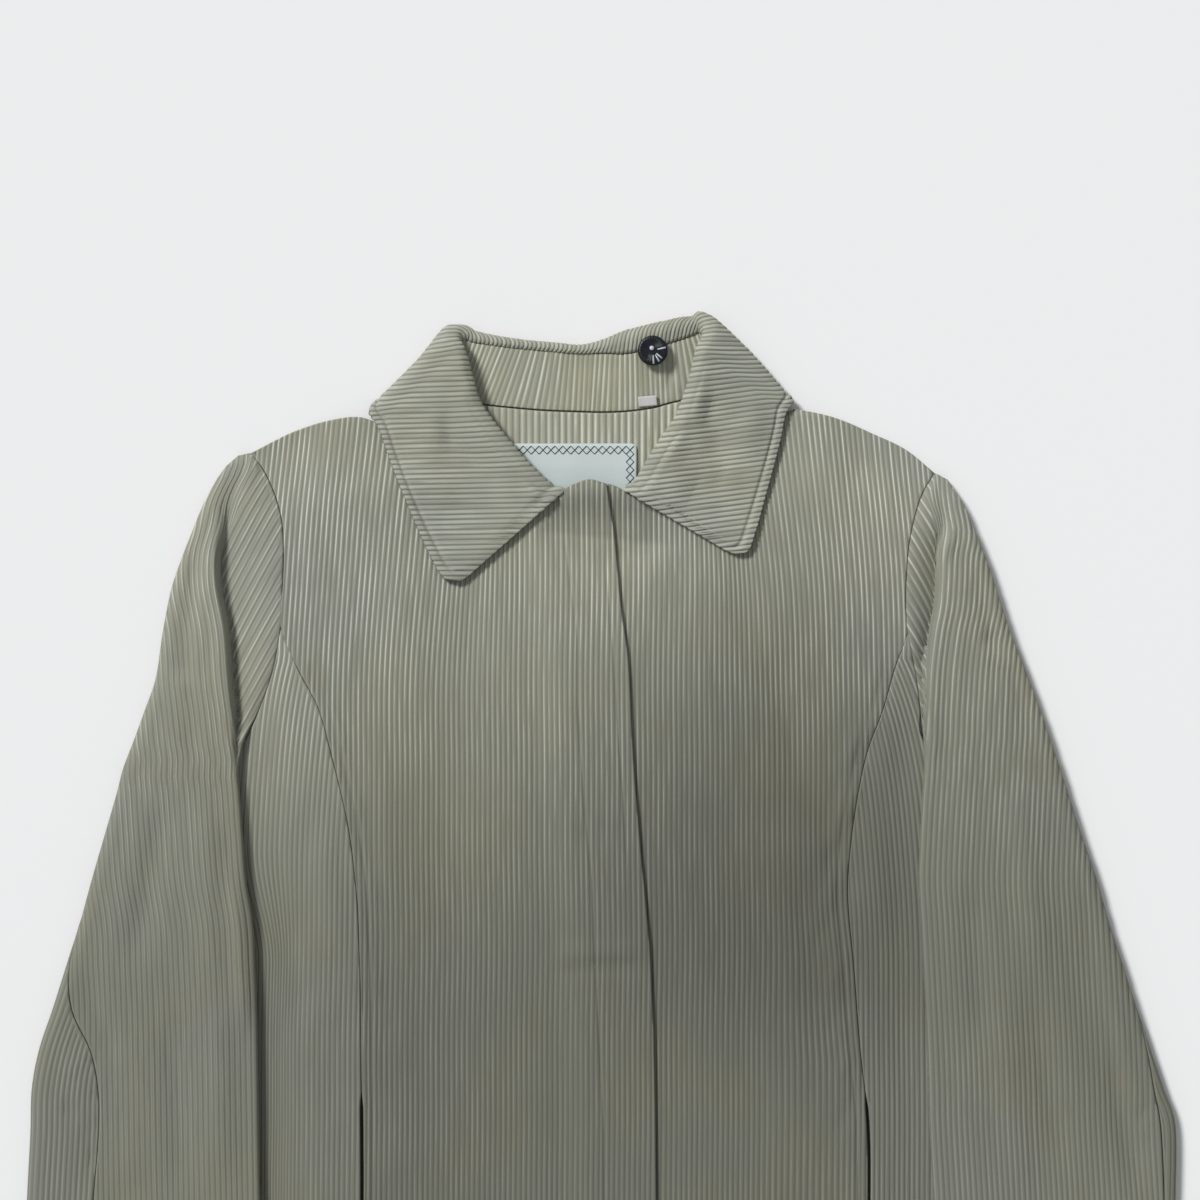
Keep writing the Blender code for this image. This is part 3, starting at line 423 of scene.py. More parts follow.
# a mesh in metres from points in plan millimetres and arrays of quads and triangles
def meshFrom(name, points, quads, tris, uv):
    mesh = bpy.data.meshes.new(name)
    placed = np.stack([points[:, 0], coat["centreDown"] - points[:, 1], points[:, 2]], 1) * 0.001
    loops = np.concatenate([quads.ravel(), tris.ravel()]).astype(np.int32)
    starts = np.concatenate([np.arange(len(quads)) * 4, len(quads) * 4 + np.arange(len(tris)) * 3])
    starts = starts.astype(np.int32)
    mesh.vertices.add(len(placed))
    mesh.vertices.foreach_set("co", placed.astype(np.float32).ravel())
    mesh.loops.add(len(loops))
    mesh.loops.foreach_set("vertex_index", loops)
    mesh.polygons.add(len(starts))
    mesh.polygons.foreach_set("loop_start", starts)
    mesh.update(calc_edges=True)
    mesh.validate()
    mesh.shade_smooth()
    grain = mesh.uv_layers.new(name="grain")
    index = np.zeros(len(mesh.loops), np.int32)
    mesh.loops.foreach_get("vertex_index", index)
    grain.data.foreach_set("uv", uv[index].astype(np.float32).ravel())
    thing = bpy.data.objects.new(name, mesh)
    bpy.context.scene.collection.objects.link(thing)
    return thing


# unit normals of surface(a, b) from central differences, turned by side
def normalsOf(surface, a, b, side, step=0.4):
    across = surface(a + step, b) - surface(a - step, b)
    along = surface(a, b + step) - surface(a, b - step)
    normal = side * np.cross(across, along)
    return normal / np.maximum(np.linalg.norm(normal, axis=-1), 1e-9)[..., None]


# directed edges that only one face uses, as closed loops of vertex numbers
def borderLoops(quads, tris, count):
    edges = [np.stack([quads[:, k], quads[:, (k + 1) % 4]], 1) for k in range(4)]
    edges += [np.stack([tris[:, k], tris[:, (k + 1) % 3]], 1) for k in range(3)]
    edges = np.concatenate(edges).astype(np.int64)
    code, back = edges[:, 0] * count + edges[:, 1], edges[:, 1] * count + edges[:, 0]
    rim = edges[~np.isin(code, back)]
    follow = dict(rim.tolist())
    found = []
    while follow:
        start, at = follow.popitem()
        loop = [start]
        while at != start and at in follow:
            loop.append(at)
            at = follow.pop(at)
        found.append(loop)
    return sorted(found, key=len, reverse=True)


# true for points within a closed loop: an odd number of its edges lies to one side
def inside(loop, x, y):
    found = np.zeros(np.shape(x), bool)
    for (x0, y0), (x1, y1) in zip(loop, np.roll(loop, -1, 0)):
        if y0 != y1:
            found ^= ((y0 > y) != (y1 > y)) & (x < (x1 - x0) * (y - y0) / (y1 - y0) + x0)
    return found


# a closed skin of cloth: the grid (a, b) carried by surface(a, b) with the wales on it, a plain inner skin a
# wall below it on a coarse net, and a rim between them; a and b are about millimetres; rims is how much of the
# wales is left at the first and last row and the first and last column; size is the flat width and length in
# metres, where a and b don't give them
def clothShell(name, a, b, surface, relief, wall, side, coarse, uvOf, finish,
               rims=(0, 0, 0, 0), net=None, size=None):
    rows, columns = a.shape
    flat = np.stack([a, b], -1).reshape(-1, 2)
    keys = np.round(flat * 1e4).astype(np.int64)
    _, first, inverse = np.unique(keys, axis=0, return_index=True, return_inverse=True)
    inverse = inverse.ravel()
    ring = np.ones((rows, columns))
    ring[0], ring[-1] = rims[:2]
    ring[:, 0], ring[:, -1] = rims[2:]
    held = np.ones(len(first))
    np.minimum.at(held, inverse, ring.ravel())
    a, b = flat[first].T
    ids = inverse.reshape(rows, columns)
    quads = np.stack([ids[:-1, :-1], ids[1:, :-1], ids[1:, 1:], ids[:-1, 1:]], -1).reshape(-1, 4)
    same = quads == np.roll(quads, -1, 1)
    cross = (quads[:, 0] == quads[:, 2]) | (quads[:, 1] == quads[:, 3])
    thin = quads[(same.sum(1) == 1) & ~cross]
    whole = quads[(same.sum(1) == 0) & ~cross]
    sameThin = thin == np.roll(thin, -1, 1)
    tris = [np.delete(thin[sameThin[:, k]], k, 1) for k in range(4)]
    tris = np.concatenate(tris).reshape(-1, 3)

    def area(face):
        return 0.5 * np.sum(a[face] * np.roll(b[face], -1, 1) - np.roll(a[face], -1, 1) * b[face], axis=1)

    whole, tris = whole[np.abs(area(whole)) > 1e-5], tris[np.abs(area(tris)) > 1e-5]
    turn = np.sign(np.median(area(whole)))
    normal = normalsOf(surface, a, b, side)
    top = surface(a, b) + normal * (relief(a, b) * held)[:, None]
    count = len(top)
    quadsAll, trisAll, points, params = [whole], [tris], [top], [np.stack([a, b], 1)]
    loop = np.array(borderLoops(whole, tris, count)[0])
    border = np.stack([a[loop], b[loop]], 1)
    low, high = border.min(0), border.max(0)
    if net is None:
        places = [np.arange(low[k] + coarse[k] / 2, high[k], coarse[k]) for k in (0, 1)]
        net = np.stack(np.meshgrid(*places), -1).reshape(-1, 2)
    net = net[inside(border, net[:, 0], net[:, 1])]
    gap = np.array([np.min(np.hypot(*(border - point).T)) for point in net]) if len(net) else np.zeros(0)
    net = net[gap > 0.25 * min(*coarse, 6)]
    under = np.vstack([border, net])
    made = delaunay_2d_cdt([Vector(p) for p in under], [], [list(range(len(loop)))], 1, 1e-5)
    source = np.array([ids[0] if ids else -1 for ids in made[3]])
    inner = np.array([[source[i] for i in face] for face in made[2] if len(face) == 3])
    inner = inner[(inner >= 0).all(1)]
    low = surface(under[:, 0], under[:, 1])
    low = low - normalsOf(surface, under[:, 0], under[:, 1], side) * wall
    points.append(low)
    params.append(under)
    corner = low[inner]
    sides = np.cross(corner[:, 1] - corner[:, 0], corner[:, 2] - corner[:, 0])
    extent = (border.max(0) - border.min(0)) * 0.001
    trisAll.append((inner[:, ::-1] if turn > 0 else inner) + count)
    ahead = np.roll(np.arange(len(loop)), -1)
    quadsAll.append(np.stack([loop[ahead], loop, np.arange(len(loop)) + count, ahead + count], 1))
    points, params = np.vstack(points), np.vstack(params)
    points[:, 2] = np.maximum(points[:, 2], coat["clear"])
    quads, tris = np.concatenate(quadsAll), np.concatenate(trisAll)
    # faces point outwards; down runs against the world's Y
    p = points * (1, -1, 1)
    sample = whole[:: max(1, len(whole) // 400)]
    facing = np.cross(p[sample[:, 1]] - p[sample[:, 0]], p[sample[:, 3]] - p[sample[:, 0]])
    if np.sum(facing * normal[sample[:, 0]] * (1, -1, 1)) < 0:
        quads, tris = quads[:, ::-1], tris[:, ::-1]
    thing = meshFrom(name + "_cloth", points, quads, tris, uvOf(params[:, 0], params[:, 1]))
    thing.data.materials.append(finish)
    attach(thing, "root")
    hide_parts(name)
    flat = tuple(float(round(max(span, 0.01), 3)) for span in (extent if size is None else size))


# flat-topped ridge between narrow grooves: (1 - |2f - 1|^3)^0.6 of the wale's share f, uneven between wales
def ridge(number, along):
    share = number - np.floor(number)
    uneven = 0.84 + 0.32 * wander(np.floor(number) * 7.3 + along / 45.0, 3.0)
    return uneven * np.maximum(1 - np.abs(2 * share - 1) ** 3, 0) ** 0.6


# grid of grain lines and rows, held within the panel's edges; the outermost ring is the panel's own edge
def planGrid(columns, rows, left, right, top, bottom, lean, rim=1.1):
    g, d = np.meshgrid(np.concatenate([[-1e4], columns, [1e4]]), rows)
    low, high = left(d), right(d)
    edge = np.minimum(rim, 0.45 * np.maximum(high - low, 0))
    x = np.clip(g + lean(g, d), low + edge, high - edge)
    x[:, 0], x[:, -1] = low[:, 0], np.maximum(high, low)[:, -1]
    up, floor = top(x), bottom(x)
    d = np.clip(d, up + rim, floor - rim)
    d[0], d[-1] = up[0], floor[-1]
    return x, d


# grain coordinate of a place: the lean is taken off again, step by step
def grainOf(lean, x, d):
    g = x
    for _ in range(5):
        g = x - lean(g, d)
    return g


# the same value at every place
def level(value):
    return lambda at: np.full(np.shape(at), value)


# wales that run straight down
def upright(g, down):
    return 0.0 * down


# the grain's UV map: the wale's number across the cloth and its place along it in lengths of run
def waleMap(pitch, run=10.0):
    return lambda a, b: np.stack([a / pitch, b / run], 1)


# even steps from low to high, of about the given size
def stepped(low, high, step):
    return np.linspace(low, high, max(2, int(round((high - low) / step)) + 1))


# rows of the body: close ones down to farFrom, wider ones below it
def bodyRows(low, high):
    near = stepped(low, wale["farFrom"], wale["rowStep"])
    return np.concatenate([near, stepped(wale["farFrom"], high, wale["farRowStep"])[1:]])


# the columns of whole wales that cover low to high, in so many steps a wale
def grainLines(low, high, pitch, steps):
    first, last = math.floor(low / pitch), math.ceil(high / pitch)
    return np.arange(first * steps, last * steps + 1) / steps * pitch


# a socket with operators: an expression on values adds its Math nodes
class Value:
    def __init__(self, tree, socket):
        self.tree, self.socket = tree, socket

    def math(self, operation, first, second=None):
        return self.tree.node("ShaderNodeMath", {"operation": operation}, [first, second])

    def __add__(self, other): return self.math("ADD", self, other)
    def __radd__(self, other): return self.math("ADD", other, self)
    def __sub__(self, other): return self.math("SUBTRACT", self, other)
    def __rsub__(self, other): return self.math("SUBTRACT", other, self)
    def __mul__(self, other): return self.math("MULTIPLY", self, other)
    def __rmul__(self, other): return self.math("MULTIPLY", other, self)
    def fraction(self): return self.math("FRACT", self)
    def size(self): return self.math("ABSOLUTE", self)
    def clamp(self): return self.tree.node("ShaderNodeClamp", {}, [self])


# a material: node() adds any node with its settings and the values or links of its sockets
class Finish:
    def __init__(self, name, roughness, **plain):
        self.made = bpy.data.materials.new(name)
        self.made.use_nodes = True
        self.tree = self.made.node_tree
        self.shader = self.tree.nodes["Principled BSDF"]
        self.shader.inputs["Roughness"].default_value = roughness
        for key, value in plain.items():
            self.shader.inputs[key.replace("_", " ")].default_value = value

    def node(self, kind, settings=None, values=(), output=0):
        node = self.tree.nodes.new(kind)
        for key, value in (settings or {}).items():
            setattr(node, key, value)
        pairs = values.items() if isinstance(values, dict) else enumerate(values)
        for key, value in pairs:
            if value is None:
                continue
            if isinstance(value, Value):
                self.tree.links.new(value.socket, node.inputs[key])
            else:
                node.inputs[key].default_value = value
        return Value(self, node.outputs[output])

    def place(self):
        return self.node("ShaderNodeTexCoord", {}, (), 3)

    def noise(self, vector, scale, detail=2.0):
        return self.node("ShaderNodeTexNoise", {}, {"Vector": vector, "Scale": scale, "Detail": detail})

    def mix(self, share, first, second):
        return self.node("ShaderNodeMix", {"data_type": "RGBA"}, {0: share, 6: first, 7: second}, 2)

    def ramp(self, value, low, high):
        return self.node("ShaderNodeMapRange", {"interpolation_type": "SMOOTHSTEP"}, [value, low, high])

    def parts(self, vector):
        split = self.tree.nodes.new("ShaderNodeSeparateXYZ")
        self.tree.links.new(vector.socket, split.inputs[0])
        return [Value(self, output) for output in split.outputs]

    def feed(self, name, value):
        self.tree.links.new(value.socket, self.shader.inputs[name])

    def bump(self, height, strength, distance):
        values = {"Strength": strength, "Distance": distance, "Height": height}
        self.feed("Normal", self.node("ShaderNodeBump", {}, values))


# a finish that runs between two colours with a fine noise over the piece, and that noise
def speckled(name, roughness, scale, dark, pale, detail=1.0, **plain):
    finish = Finish(name, roughness, **plain)
    speck = finish.noise(finish.place(), scale, detail)
    finish.feed("Base Color", finish.mix(speck, dark, pale))
    return finish, speck


clothLook = {
    "pile": (0.280, 0.285, 0.228, 1),
    "warm": (0.292, 0.288, 0.220, 1),
    "cool": (0.274, 0.278, 0.240, 1),
    # crest is the colour of a painted highlight, a pale line along each wale where the light catches it
    "crest": (0.74, 0.77, 0.67, 1),
    # groove is the colour of painted shade in the grooves between the wales
    "paintedGrooveShade": (0.095, 0.096, 0.074, 1),
    # where across the wale the painted highlight lies, its half width and its strength
    "highlightAt": 0.34,
    "highlightHalf": 0.16,
    "paintedHighlightShare": 0.85,
    # where the painted groove shade begins from the wale's middle, and its strength
    "paintedGrooveFrom": 0.76,
    "paintedGrooveShare": 0.32,
    # how much of the painted highlight is left towards the hem
    "lowHighlight": 0.38,
    # painted shade: how dark the cloth is at the hem, where less light falls than on the shoulders
    "paintedHemShade": 0.54,
    # painted shade in a soft patch away from the light: its darkest, then spot with centre x, y and fall-offs
    "paintedFarShade": 0.63,
    "spot": (0.115, 0.225, 60.0, 44.0),
    # painted shade in a band below the neck seam, across the tops of the fronts
    "paintedNeckShade": 0.84,
    # painted shade along the collar's free edge
    "paintedEdgeShade": 1.0,
}


# corduroy: a flat pile with a narrow pale line along each wale, a painted highlight which comes and goes,
# painted shade in the grooves, and soft patches of warmth; the tone falls from the shoulders to the hem in
# painted shade, and more painted shade darkens a patch, a band below the neck and a collar's free edge
def corduroy(name, look):
    cloth = Finish(name, 0.86, Sheen_Weight=0.12, Sheen_Roughness=0.4, Specular_IOR_Level=0.25)
    grain = cloth.node("ShaderNodeUVMap", {"uv_map": "grain"})
    place = cloth.place()
    number, along = cloth.parts(grain)[:2]
    x, y = cloth.parts(place)[:2]
    share = number.fraction()
    fromMiddle = (share * 2.0 - 1.0).size()

    def streaks(aWale, aRun):
        stretched = cloth.node("ShaderNodeCombineXYZ", {}, [number * aWale, along * aRun, 0.0])
        return cloth.noise(stretched, 1.0, 2.0)

    slow, quick, tuft = streaks(0.8, 0.22), streaks(3.0, 2.6), streaks(9.0, 24.0)
    patch = cloth.noise(place, 7.0, 2.0)
    warmth = cloth.noise(place, 13.0, 3.0)
    colour = cloth.mix(cloth.ramp(warmth, 0.42, 0.64), look["pile"], look["warm"])
    colour = cloth.mix(cloth.ramp(patch, 0.50, 0.68) * 0.8, colour, look["cool"])
    # painted highlight: a narrow pale line at a set place across each wale, broken up, weaker towards the hem
    near = 1.0 - cloth.ramp((share - look["highlightAt"]).size(), look["highlightHalf"] * 0.35, look["highlightHalf"])
    paintedHighlight = cloth.ramp(slow, 0.30, 0.66) * (0.45 + 0.55 * cloth.ramp(patch, 0.36, 0.56))
    paintedHighlight = paintedHighlight * (0.75 + 0.5 * (quick - 0.5))
    paintedHighlight = paintedHighlight * (look["lowHighlight"] + (1.0 - look["lowHighlight"]) * cloth.ramp(y, 0.12, 0.36))
    colour = cloth.mix((near * paintedHighlight * look["paintedHighlightShare"]).clamp(), colour, look["crest"])
    # painted shade in the grooves between the wales
    valley = cloth.ramp(fromMiddle, look["paintedGrooveFrom"], 1.0) * look["paintedGrooveShare"]
    colour = cloth.mix(valley, colour, look["paintedGrooveShade"])
    shade = 0.90 + tuft * 0.20
    # painted shade: darker from the shoulders down to the hem, as the light falls off
    shade = shade * (look["paintedHemShade"] + (1.0 - look["paintedHemShade"]) * cloth.ramp(y, 0.10, 0.42))
    # painted shade in a soft patch round spot, on the side away from the light
    atX, atY, overX, overY = look["spot"]
    aside = (x - atX) * (x - atX) * overX + (y - atY) * (y - atY) * overY
    shade = shade * (1.0 - (1.0 - look["paintedFarShade"]) * (1.0 - cloth.ramp(aside, -0.5, 1.7)))
    # painted shade in a band below the neck seam across the tops of the fronts, where the cloth tilts away
    # from the light
    paintedNeckMask = cloth.ramp(y + (x - 0.004) * 0.10, 0.388, 0.393)
    paintedNeckMask = paintedNeckMask * (1.0 - cloth.ramp((x - 0.006).size(), 0.026, 0.050))
    shade = shade * (1.0 - (1.0 - look["paintedNeckShade"]) * paintedNeckMask)
    # painted shade in a narrow strip along the collar's free edge
    shade = shade * (1.0 - (1.0 - look["paintedEdgeShade"]) * cloth.ramp(along, -0.10, -0.02))
    cloth.feed("Base Color", cloth.node("ShaderNodeVectorMath", {"operation": "SCALE"}, {0: colour, 3: shade}))
    cloth.bump(tuft + quick * 0.5, 0.45, 0.0004)
    return cloth.made


# what differs from clothLook on the other pieces
# the sleeves' copy: a weaker painted highlight and its own painted shade, lower down and on the far sleeve
sleeveCloth = dict(clothLook, paintedHighlightShare=0.7, paintedHemShade=0.70, paintedFarShade=0.84, paintedNeckShade=1.0,
                   spot=(0.25, 0.19, 26.0, 16.0))
# the collar's copy: a broad painted highlight, narrow painted groove shade and painted shade along its free
# edge
collarCloth = dict(clothLook, highlightAt=0.45, highlightHalf=0.40, paintedHighlightShare=0.42, paintedGrooveFrom=0.60, paintedGrooveShare=0.52,
                   pile=(0.30, 0.308, 0.258, 1), warm=(0.305, 0.303, 0.238, 1), paintedHemShade=1.0, paintedFarShade=1.0,
                   paintedNeckShade=1.0, paintedEdgeShade=0.42)
# the facing's copy: a lighter pile and a wider painted highlight, without the painted shade by place
facingCloth = dict(clothLook, pile=(0.34, 0.345, 0.27, 1), warm=(0.34, 0.335, 0.245, 1), paintedHemShade=1.0,
                   paintedFarShade=1.0, paintedNeckShade=1.0, highlightHalf=0.24)
# the side fronts' copy of the same cloth, its pile lighter: painted light on these panels
sideLitCloth = dict(clothLook, pile=(0.325, 0.33, 0.268, 1), warm=(0.335, 0.335, 0.26, 1),
                 cool=(0.318, 0.324, 0.284, 1), paintedNeckShade=1.0)
clothFinish = corduroy("corduroy", clothLook)
sleeveFinish = corduroy("corduroy_sleeve", sleeveCloth)
collarFinish = corduroy("corduroy_collar", collarCloth)
facingFinish = corduroy("facing_corduroy", facingCloth)
sideLitFinish = corduroy("corduroy_side_lit", sideLitCloth)
print("finishes ready")

# Front and side panels
panelLook = {"rim": 0.8, "coarse": (16.0, 24.0), "wall": 1.3, "stitchHalf": 0.9, "stitchAside": 6.5,
             "stitchFlat": 0.8, "stitchDepth": 0.3, "drawn": 0.5, "drawnAside": 3.4, "drawnHalf": 2.2,
             "drawnFrom": 100.0}
# Sewn lines of the concealed fly: the long one that holds its facing, and the short one beside the edge
flyStitch = ((-20.4, 88), (-18, 108), (-13.2, 141), (-13.2, 182), (-9.6, 239), (-4.8, 286), (-3, 332),
             (-0.6, 378), (2.4, 439), (3.5, 560), (4, 800), (4, 999))
edgeStitch = ((3, 96), (7.2, 140), (9, 166), (10.8, 198), (13.2, 226), (15.6, 269))


# half the gap at a princess seam: it opens by pocketGap along the pocket, over a run of 6 at both ends
def seamInset(down):
    first, last = coat["pocket"]
    return coat["seamGap"] / 2 + coat["pocketGap"] * rise((down - first) / 6) * rise((last - down) / 6)


# wales wander a little from the straight grain
def sway(down):
    return 0.35 * np.sin(down / 41.0) + 0.22 * np.sin(down / 17.0 + 1.3)


# Pairs are where a change begins and its run; most is a height, a place across and a half width
leanLook = {"chest": 0.09, "chestAcross": (45.0, 60.0), "most": (0.35, 108.0, 36.0), "level": 200.0,
            "turn": 130.0, "flare": 8.0, "flareFrom": 300.0, "flareAcross": (95.0, 50.0),
            "side": {"right": 13.0, "left": 26.0}, "sideFrom": 165.0, "sideRun": 60.0, "swing": 14.0,
            "swingDown": (268.0, 72.0), "swingAcross": (165.0, 45.0)}


# from 0 to 1 beginning at a place, over a run
def after(place, begins):
    return rise((place - begins[0]) / begins[1])


# fronts: towards the armholes the wales run outwards down to the chest, and below it they keep to the seam
def frontLean(side, g, down):
    sign = -1 if side == "right" else 1
    left = np.maximum(leanLook["level"] - down, 0)
    half = leanLook["turn"] / 2
    fall = np.where(left > leanLook["turn"], left - half, left**2 / (4 * half))
    seam = np.abs(xAt(princess[side], down)) - np.abs(xAt(princess[side], leanLook["flareFrom"]))
    flare = np.clip(np.where(down > leanLook["flareFrom"], seam, 0), 0, leanLook["flare"])
    height, place, width = leanLook["most"]
    most = 1 + height * np.exp(-(((sign * g - place) / width) ** 2))
    inward = leanLook["chest"] * fall * after(sign * g, leanLook["chestAcross"]) * most
    return sign * (flare * after(sign * g, leanLook["flareAcross"]) - inward) + sway(down)


# side fronts: outwards and down from the princess seam, upright lower down; one swings in beside its sleeve
def sideLean(side, g, down):
    sign = -1 if side == "right" else 1
    along = np.maximum(down - leanLook["sideFrom"], -10) / leanLook["sideRun"]
    out = leanLook["side"][side] * (1 - np.exp(-along))
    swing = leanLook["swing"] * after(down, leanLook["swingDown"]) * after(sign * g, leanLook["swingAcross"])
    return sign * (out - swing * (side == "right")) + sway(down)


# one panel of the body: a height field on the grid between its edges, with its wales along the lean
def makePanel(name, left, right, top, bottom, lean, heightOf, span, rows, stitched, rims, finish):
    pitch = wale["pitch"]
    columns = grainLines(span[0], span[1], pitch, wale["steps"])
    a, b = planGrid(columns, rows, left, right, top, bottom, lean, panelLook["rim"])

    def surface(x, d):
        return np.stack([x, d, heightOf(x, d) - drop], -1)

    def number(x, d):
        return grainOf(lean, x, d) / pitch

    # lower along the sewn lines, and drawn up in the narrow strip between the first of them and its seam
    def relief(x, d):
        away = [distanceTo(line, x, d) for line in stitched]
        sewn = sum((np.exp(-((gap / panelLook["stitchHalf"]) ** 2)) for gap in away), 0 * x)
        drawn = 0.0
        if away:
            drawn = np.exp(-(((away[0] - panelLook["drawnAside"]) / panelLook["drawnHalf"]) ** 2))
            drawn = drawn * (np.abs(x) > panelLook["drawnFrom"])
        height = wale["height"] * (1 + panelLook["drawn"] * drawn) * ridge(number(x, d), d)
        return height * (1 - panelLook["stitchFlat"] * sewn) - panelLook["stitchDepth"] * sewn

    clothShell(
        name, a, b, surface, relief, panelLook["wall"] - drop + 0.2, 1.0, panelLook["coarse"],
        lambda x, d: np.stack([number(x, d), d / 10.0], 1), finish, rims,
    )


hemLine = coat["hem"] - 0.2
for side in ("left", "right"):
    sign = -1 if side == "right" else 1
    hole = armhole(side)
    seamLine = [hole[6], *princess[side]]
    outerLine = hole[:7] + list(princess[side])
    if side == "right":
        topLine = list(shoulder["right"]) + list(frontNeck["right"])
        left = lambda d, line=outerLine: xAt(line, d) + seamInset(d)
        right = lambda d: xAt(lapEdge, d)
        span = (-215, 40)
    else:
        topLine = list(frontNeck["left"]) + list(shoulder["left"])
        innerLine = [(-3, 57), (-26, 77), *[(x - coat["lap"], down) for x, down in lapEdge[2:]]]
        left = lambda d, line=innerLine: xAt(line, d)
        right = lambda d, line=outerLine: xAt(line, d) - seamInset(d)
        span = (-30, 205)
    topLine = sorted(topLine)
    aside = [(x - sign * panelLook["stitchAside"], down) for x, down in princess[side]]
    makePanel(
        f"front_{side}", left, right,
        lambda x, line=topLine: downAt(line, x) + 0.15,
        level(hemLine),
        lambda g, d, side=side: frontLean(side, g, d), lambda x, d, side=side: frontTop(side, x, d),
        span, bodyRows(min(down for _, down in topLine), coat["hem"]),
        [aside] + ([flyStitch, edgeStitch] if side == "right" else []), (0.7, 0.2, 0.4, 0.4), clothFinish,
    )
    sideLine = hole[6:] + list(sideSeam[side])[1:]
    near = lambda d, line=seamLine, sign=sign: xAt(line, d) + sign * seamInset(d)
    far = lambda d, line=sideLine: xAt(line, d)
    makePanel(
        f"side_front_{side}", far if side == "right" else near, near if side == "right" else far,
        level(hole[6][1]), level(hemLine),
        lambda g, d, side=side: sideLean(side, g, d),
        lambda x, d, side=side: frontBottom(side, x, d) + coat["wall"],
        (-330, -100) if side == "right" else (100, 330), bodyRows(hole[6][1], coat["hem"]), [],
        (0.2, 0.2, 0.4, 0.4), sideLitFinish,
    )
print("fronts ready")

# Back panel: its outer side lies on the surface, so the wales' crests are at its underside
backLook = {"rowStep": 14.0, "wall": 0.9}
backLeft = armhole("right") + list(sideSeam["right"])[1:]
backRight = armhole("left") + list(sideSeam["left"])[1:]
backTop = sorted(set(list(shoulder["right"]) + list(backNeck) + list(shoulder["left"])))


# the back: level but for the climb at its neck
def makeBack():
    pitch = wale["pitch"]
    a, b = planGrid(
        grainLines(-305, 305, pitch, wale["hiddenSteps"]), stepped(2, coat["hem"], backLook["rowStep"]),
        lambda d: xAt(backLeft, d) + 0.2, lambda d: xAt(backRight, d) - 0.2,
        lambda x: downAt(backTop, x) + 0.2, level(hemLine), upright)
    clothShell(
        "back", a, b,
        lambda x, d: np.stack([x, d, neckLift(x, d) + 0.6], -1),
        lambda x, d: 0.6 * ridge(x / pitch, d),
        backLook["wall"], -1.0, (40.0, 60.0),
        waleMap(pitch), clothFinish,
    )


makeBack()
print("back ready")

# Sleeves: sections between the armhole or the inner fold and the outer fold
sleeveLook = {"crown": 10.2, "capCrown": (4.4, 7.6, 9.4), "turn": 8.0, "innerTurn": 4.0, "lift": 4.6,
              "ramp": 34.0, "flat": 4.0, "valley": 2.9, "step": 2.4, "roll": 1.3, "gather": (9.0, 2.2),
              "capPuff": 1.8, "rowStep": 5.0, "farRowStep": 9.0, "station": 20.0, "wall": 1.3, "pitch": 3.2,
              "capPitch": 4.1, "fullLength": 45.0, "foldFrom": (9.1, 1.0), "stepEnds": (7.4, 2.4),
              "gatherFull": 12.0, "puffFull": 14.0, "dome": 1.2, "domeRun": (6.0, 22.0), "rollAt": (4.0, 5.0),
              "seamShare": 0.35, "valleyCrease": 0.6, "spread": 7.0}
# Where each sleeve's fold begins (outwards, down), how many wales are gathered into it there, and their slant
sleeveGrain = {
    "right": {"crease": (222.0, 104.0), "gathered": 7.5, "slant": 29.0},
    "left": {"crease": (205.0, 70.0), "gathered": 3.4, "slant": 30.0},
}


# a quarter circle: from 0, rising steeply, to 1, level
def quarter(share):
    return np.sqrt(np.maximum(1 - (1 - np.clip(share, 0, 1)) ** 2, 0))


# everything that the sleeve's sections give at travel b, carried smoothly from row to row of the table
def section(side, b):
    table = np.array(sleeve[side], float)
    k, r = np.arange(len(table)), b / sleeveLook["station"]
    ix, iy, hollow, step, ox, oy, hind = [soft(k, table[:, c], r) for c in range(7)]
    cap = sleeveLook["capCrown"]
    crown = soft(k, np.concatenate([cap, np.full(len(k) - len(cap), sleeveLook["crown"])]), r)
    length = np.hypot(ox - ix, oy - iy)
    scale, fold = np.minimum(1.0, length / sleeveLook["fullLength"]), after(r, sleeveLook["foldFrom"])
    hollow, step = np.maximum(hollow, 0.3), np.clip(step, 0, 1)
    wide, narrow = sleeveLook["gather"]
    full = np.minimum(1, hollow / sleeveLook["gatherFull"])
    gather = (wide + (narrow - wide) * step) * full * (1 - fold) + 0.01
    edge = (hollow + sleeveLook["step"] * scale * (1 - after(r, sleeveLook["stepEnds"]))) * (1 - fold)
    return {"ix": ix, "iy": iy, "ux": (ox - ix) / length, "uy": (oy - iy) / length, "length": length,
            "hollow": hollow, "step": step, "hind": np.maximum(hind, 0), "crown": crown, "scale": scale,
            "fold": fold, "edge": edge, "gather": gather}


# underside of the under sleeve: on the surface, and up over the side of the body below the underarm
def sleeveBase(side, x, down):
    line = armhole(side) + list(sideSeam[side])[1:]
    sign = -1 if side == "right" else 1
    out = np.where((x - runAt(line, down)) * sign > 0, 1, -1)
    out = out * distanceTo(line, x, down)
    over = np.clip((sleeveLook["ramp"] + sleeveLook["flat"] - out) / sleeveLook["ramp"], 0, 1)
    return sleeveLook["lift"] * over * rise((down - 186) / 20)


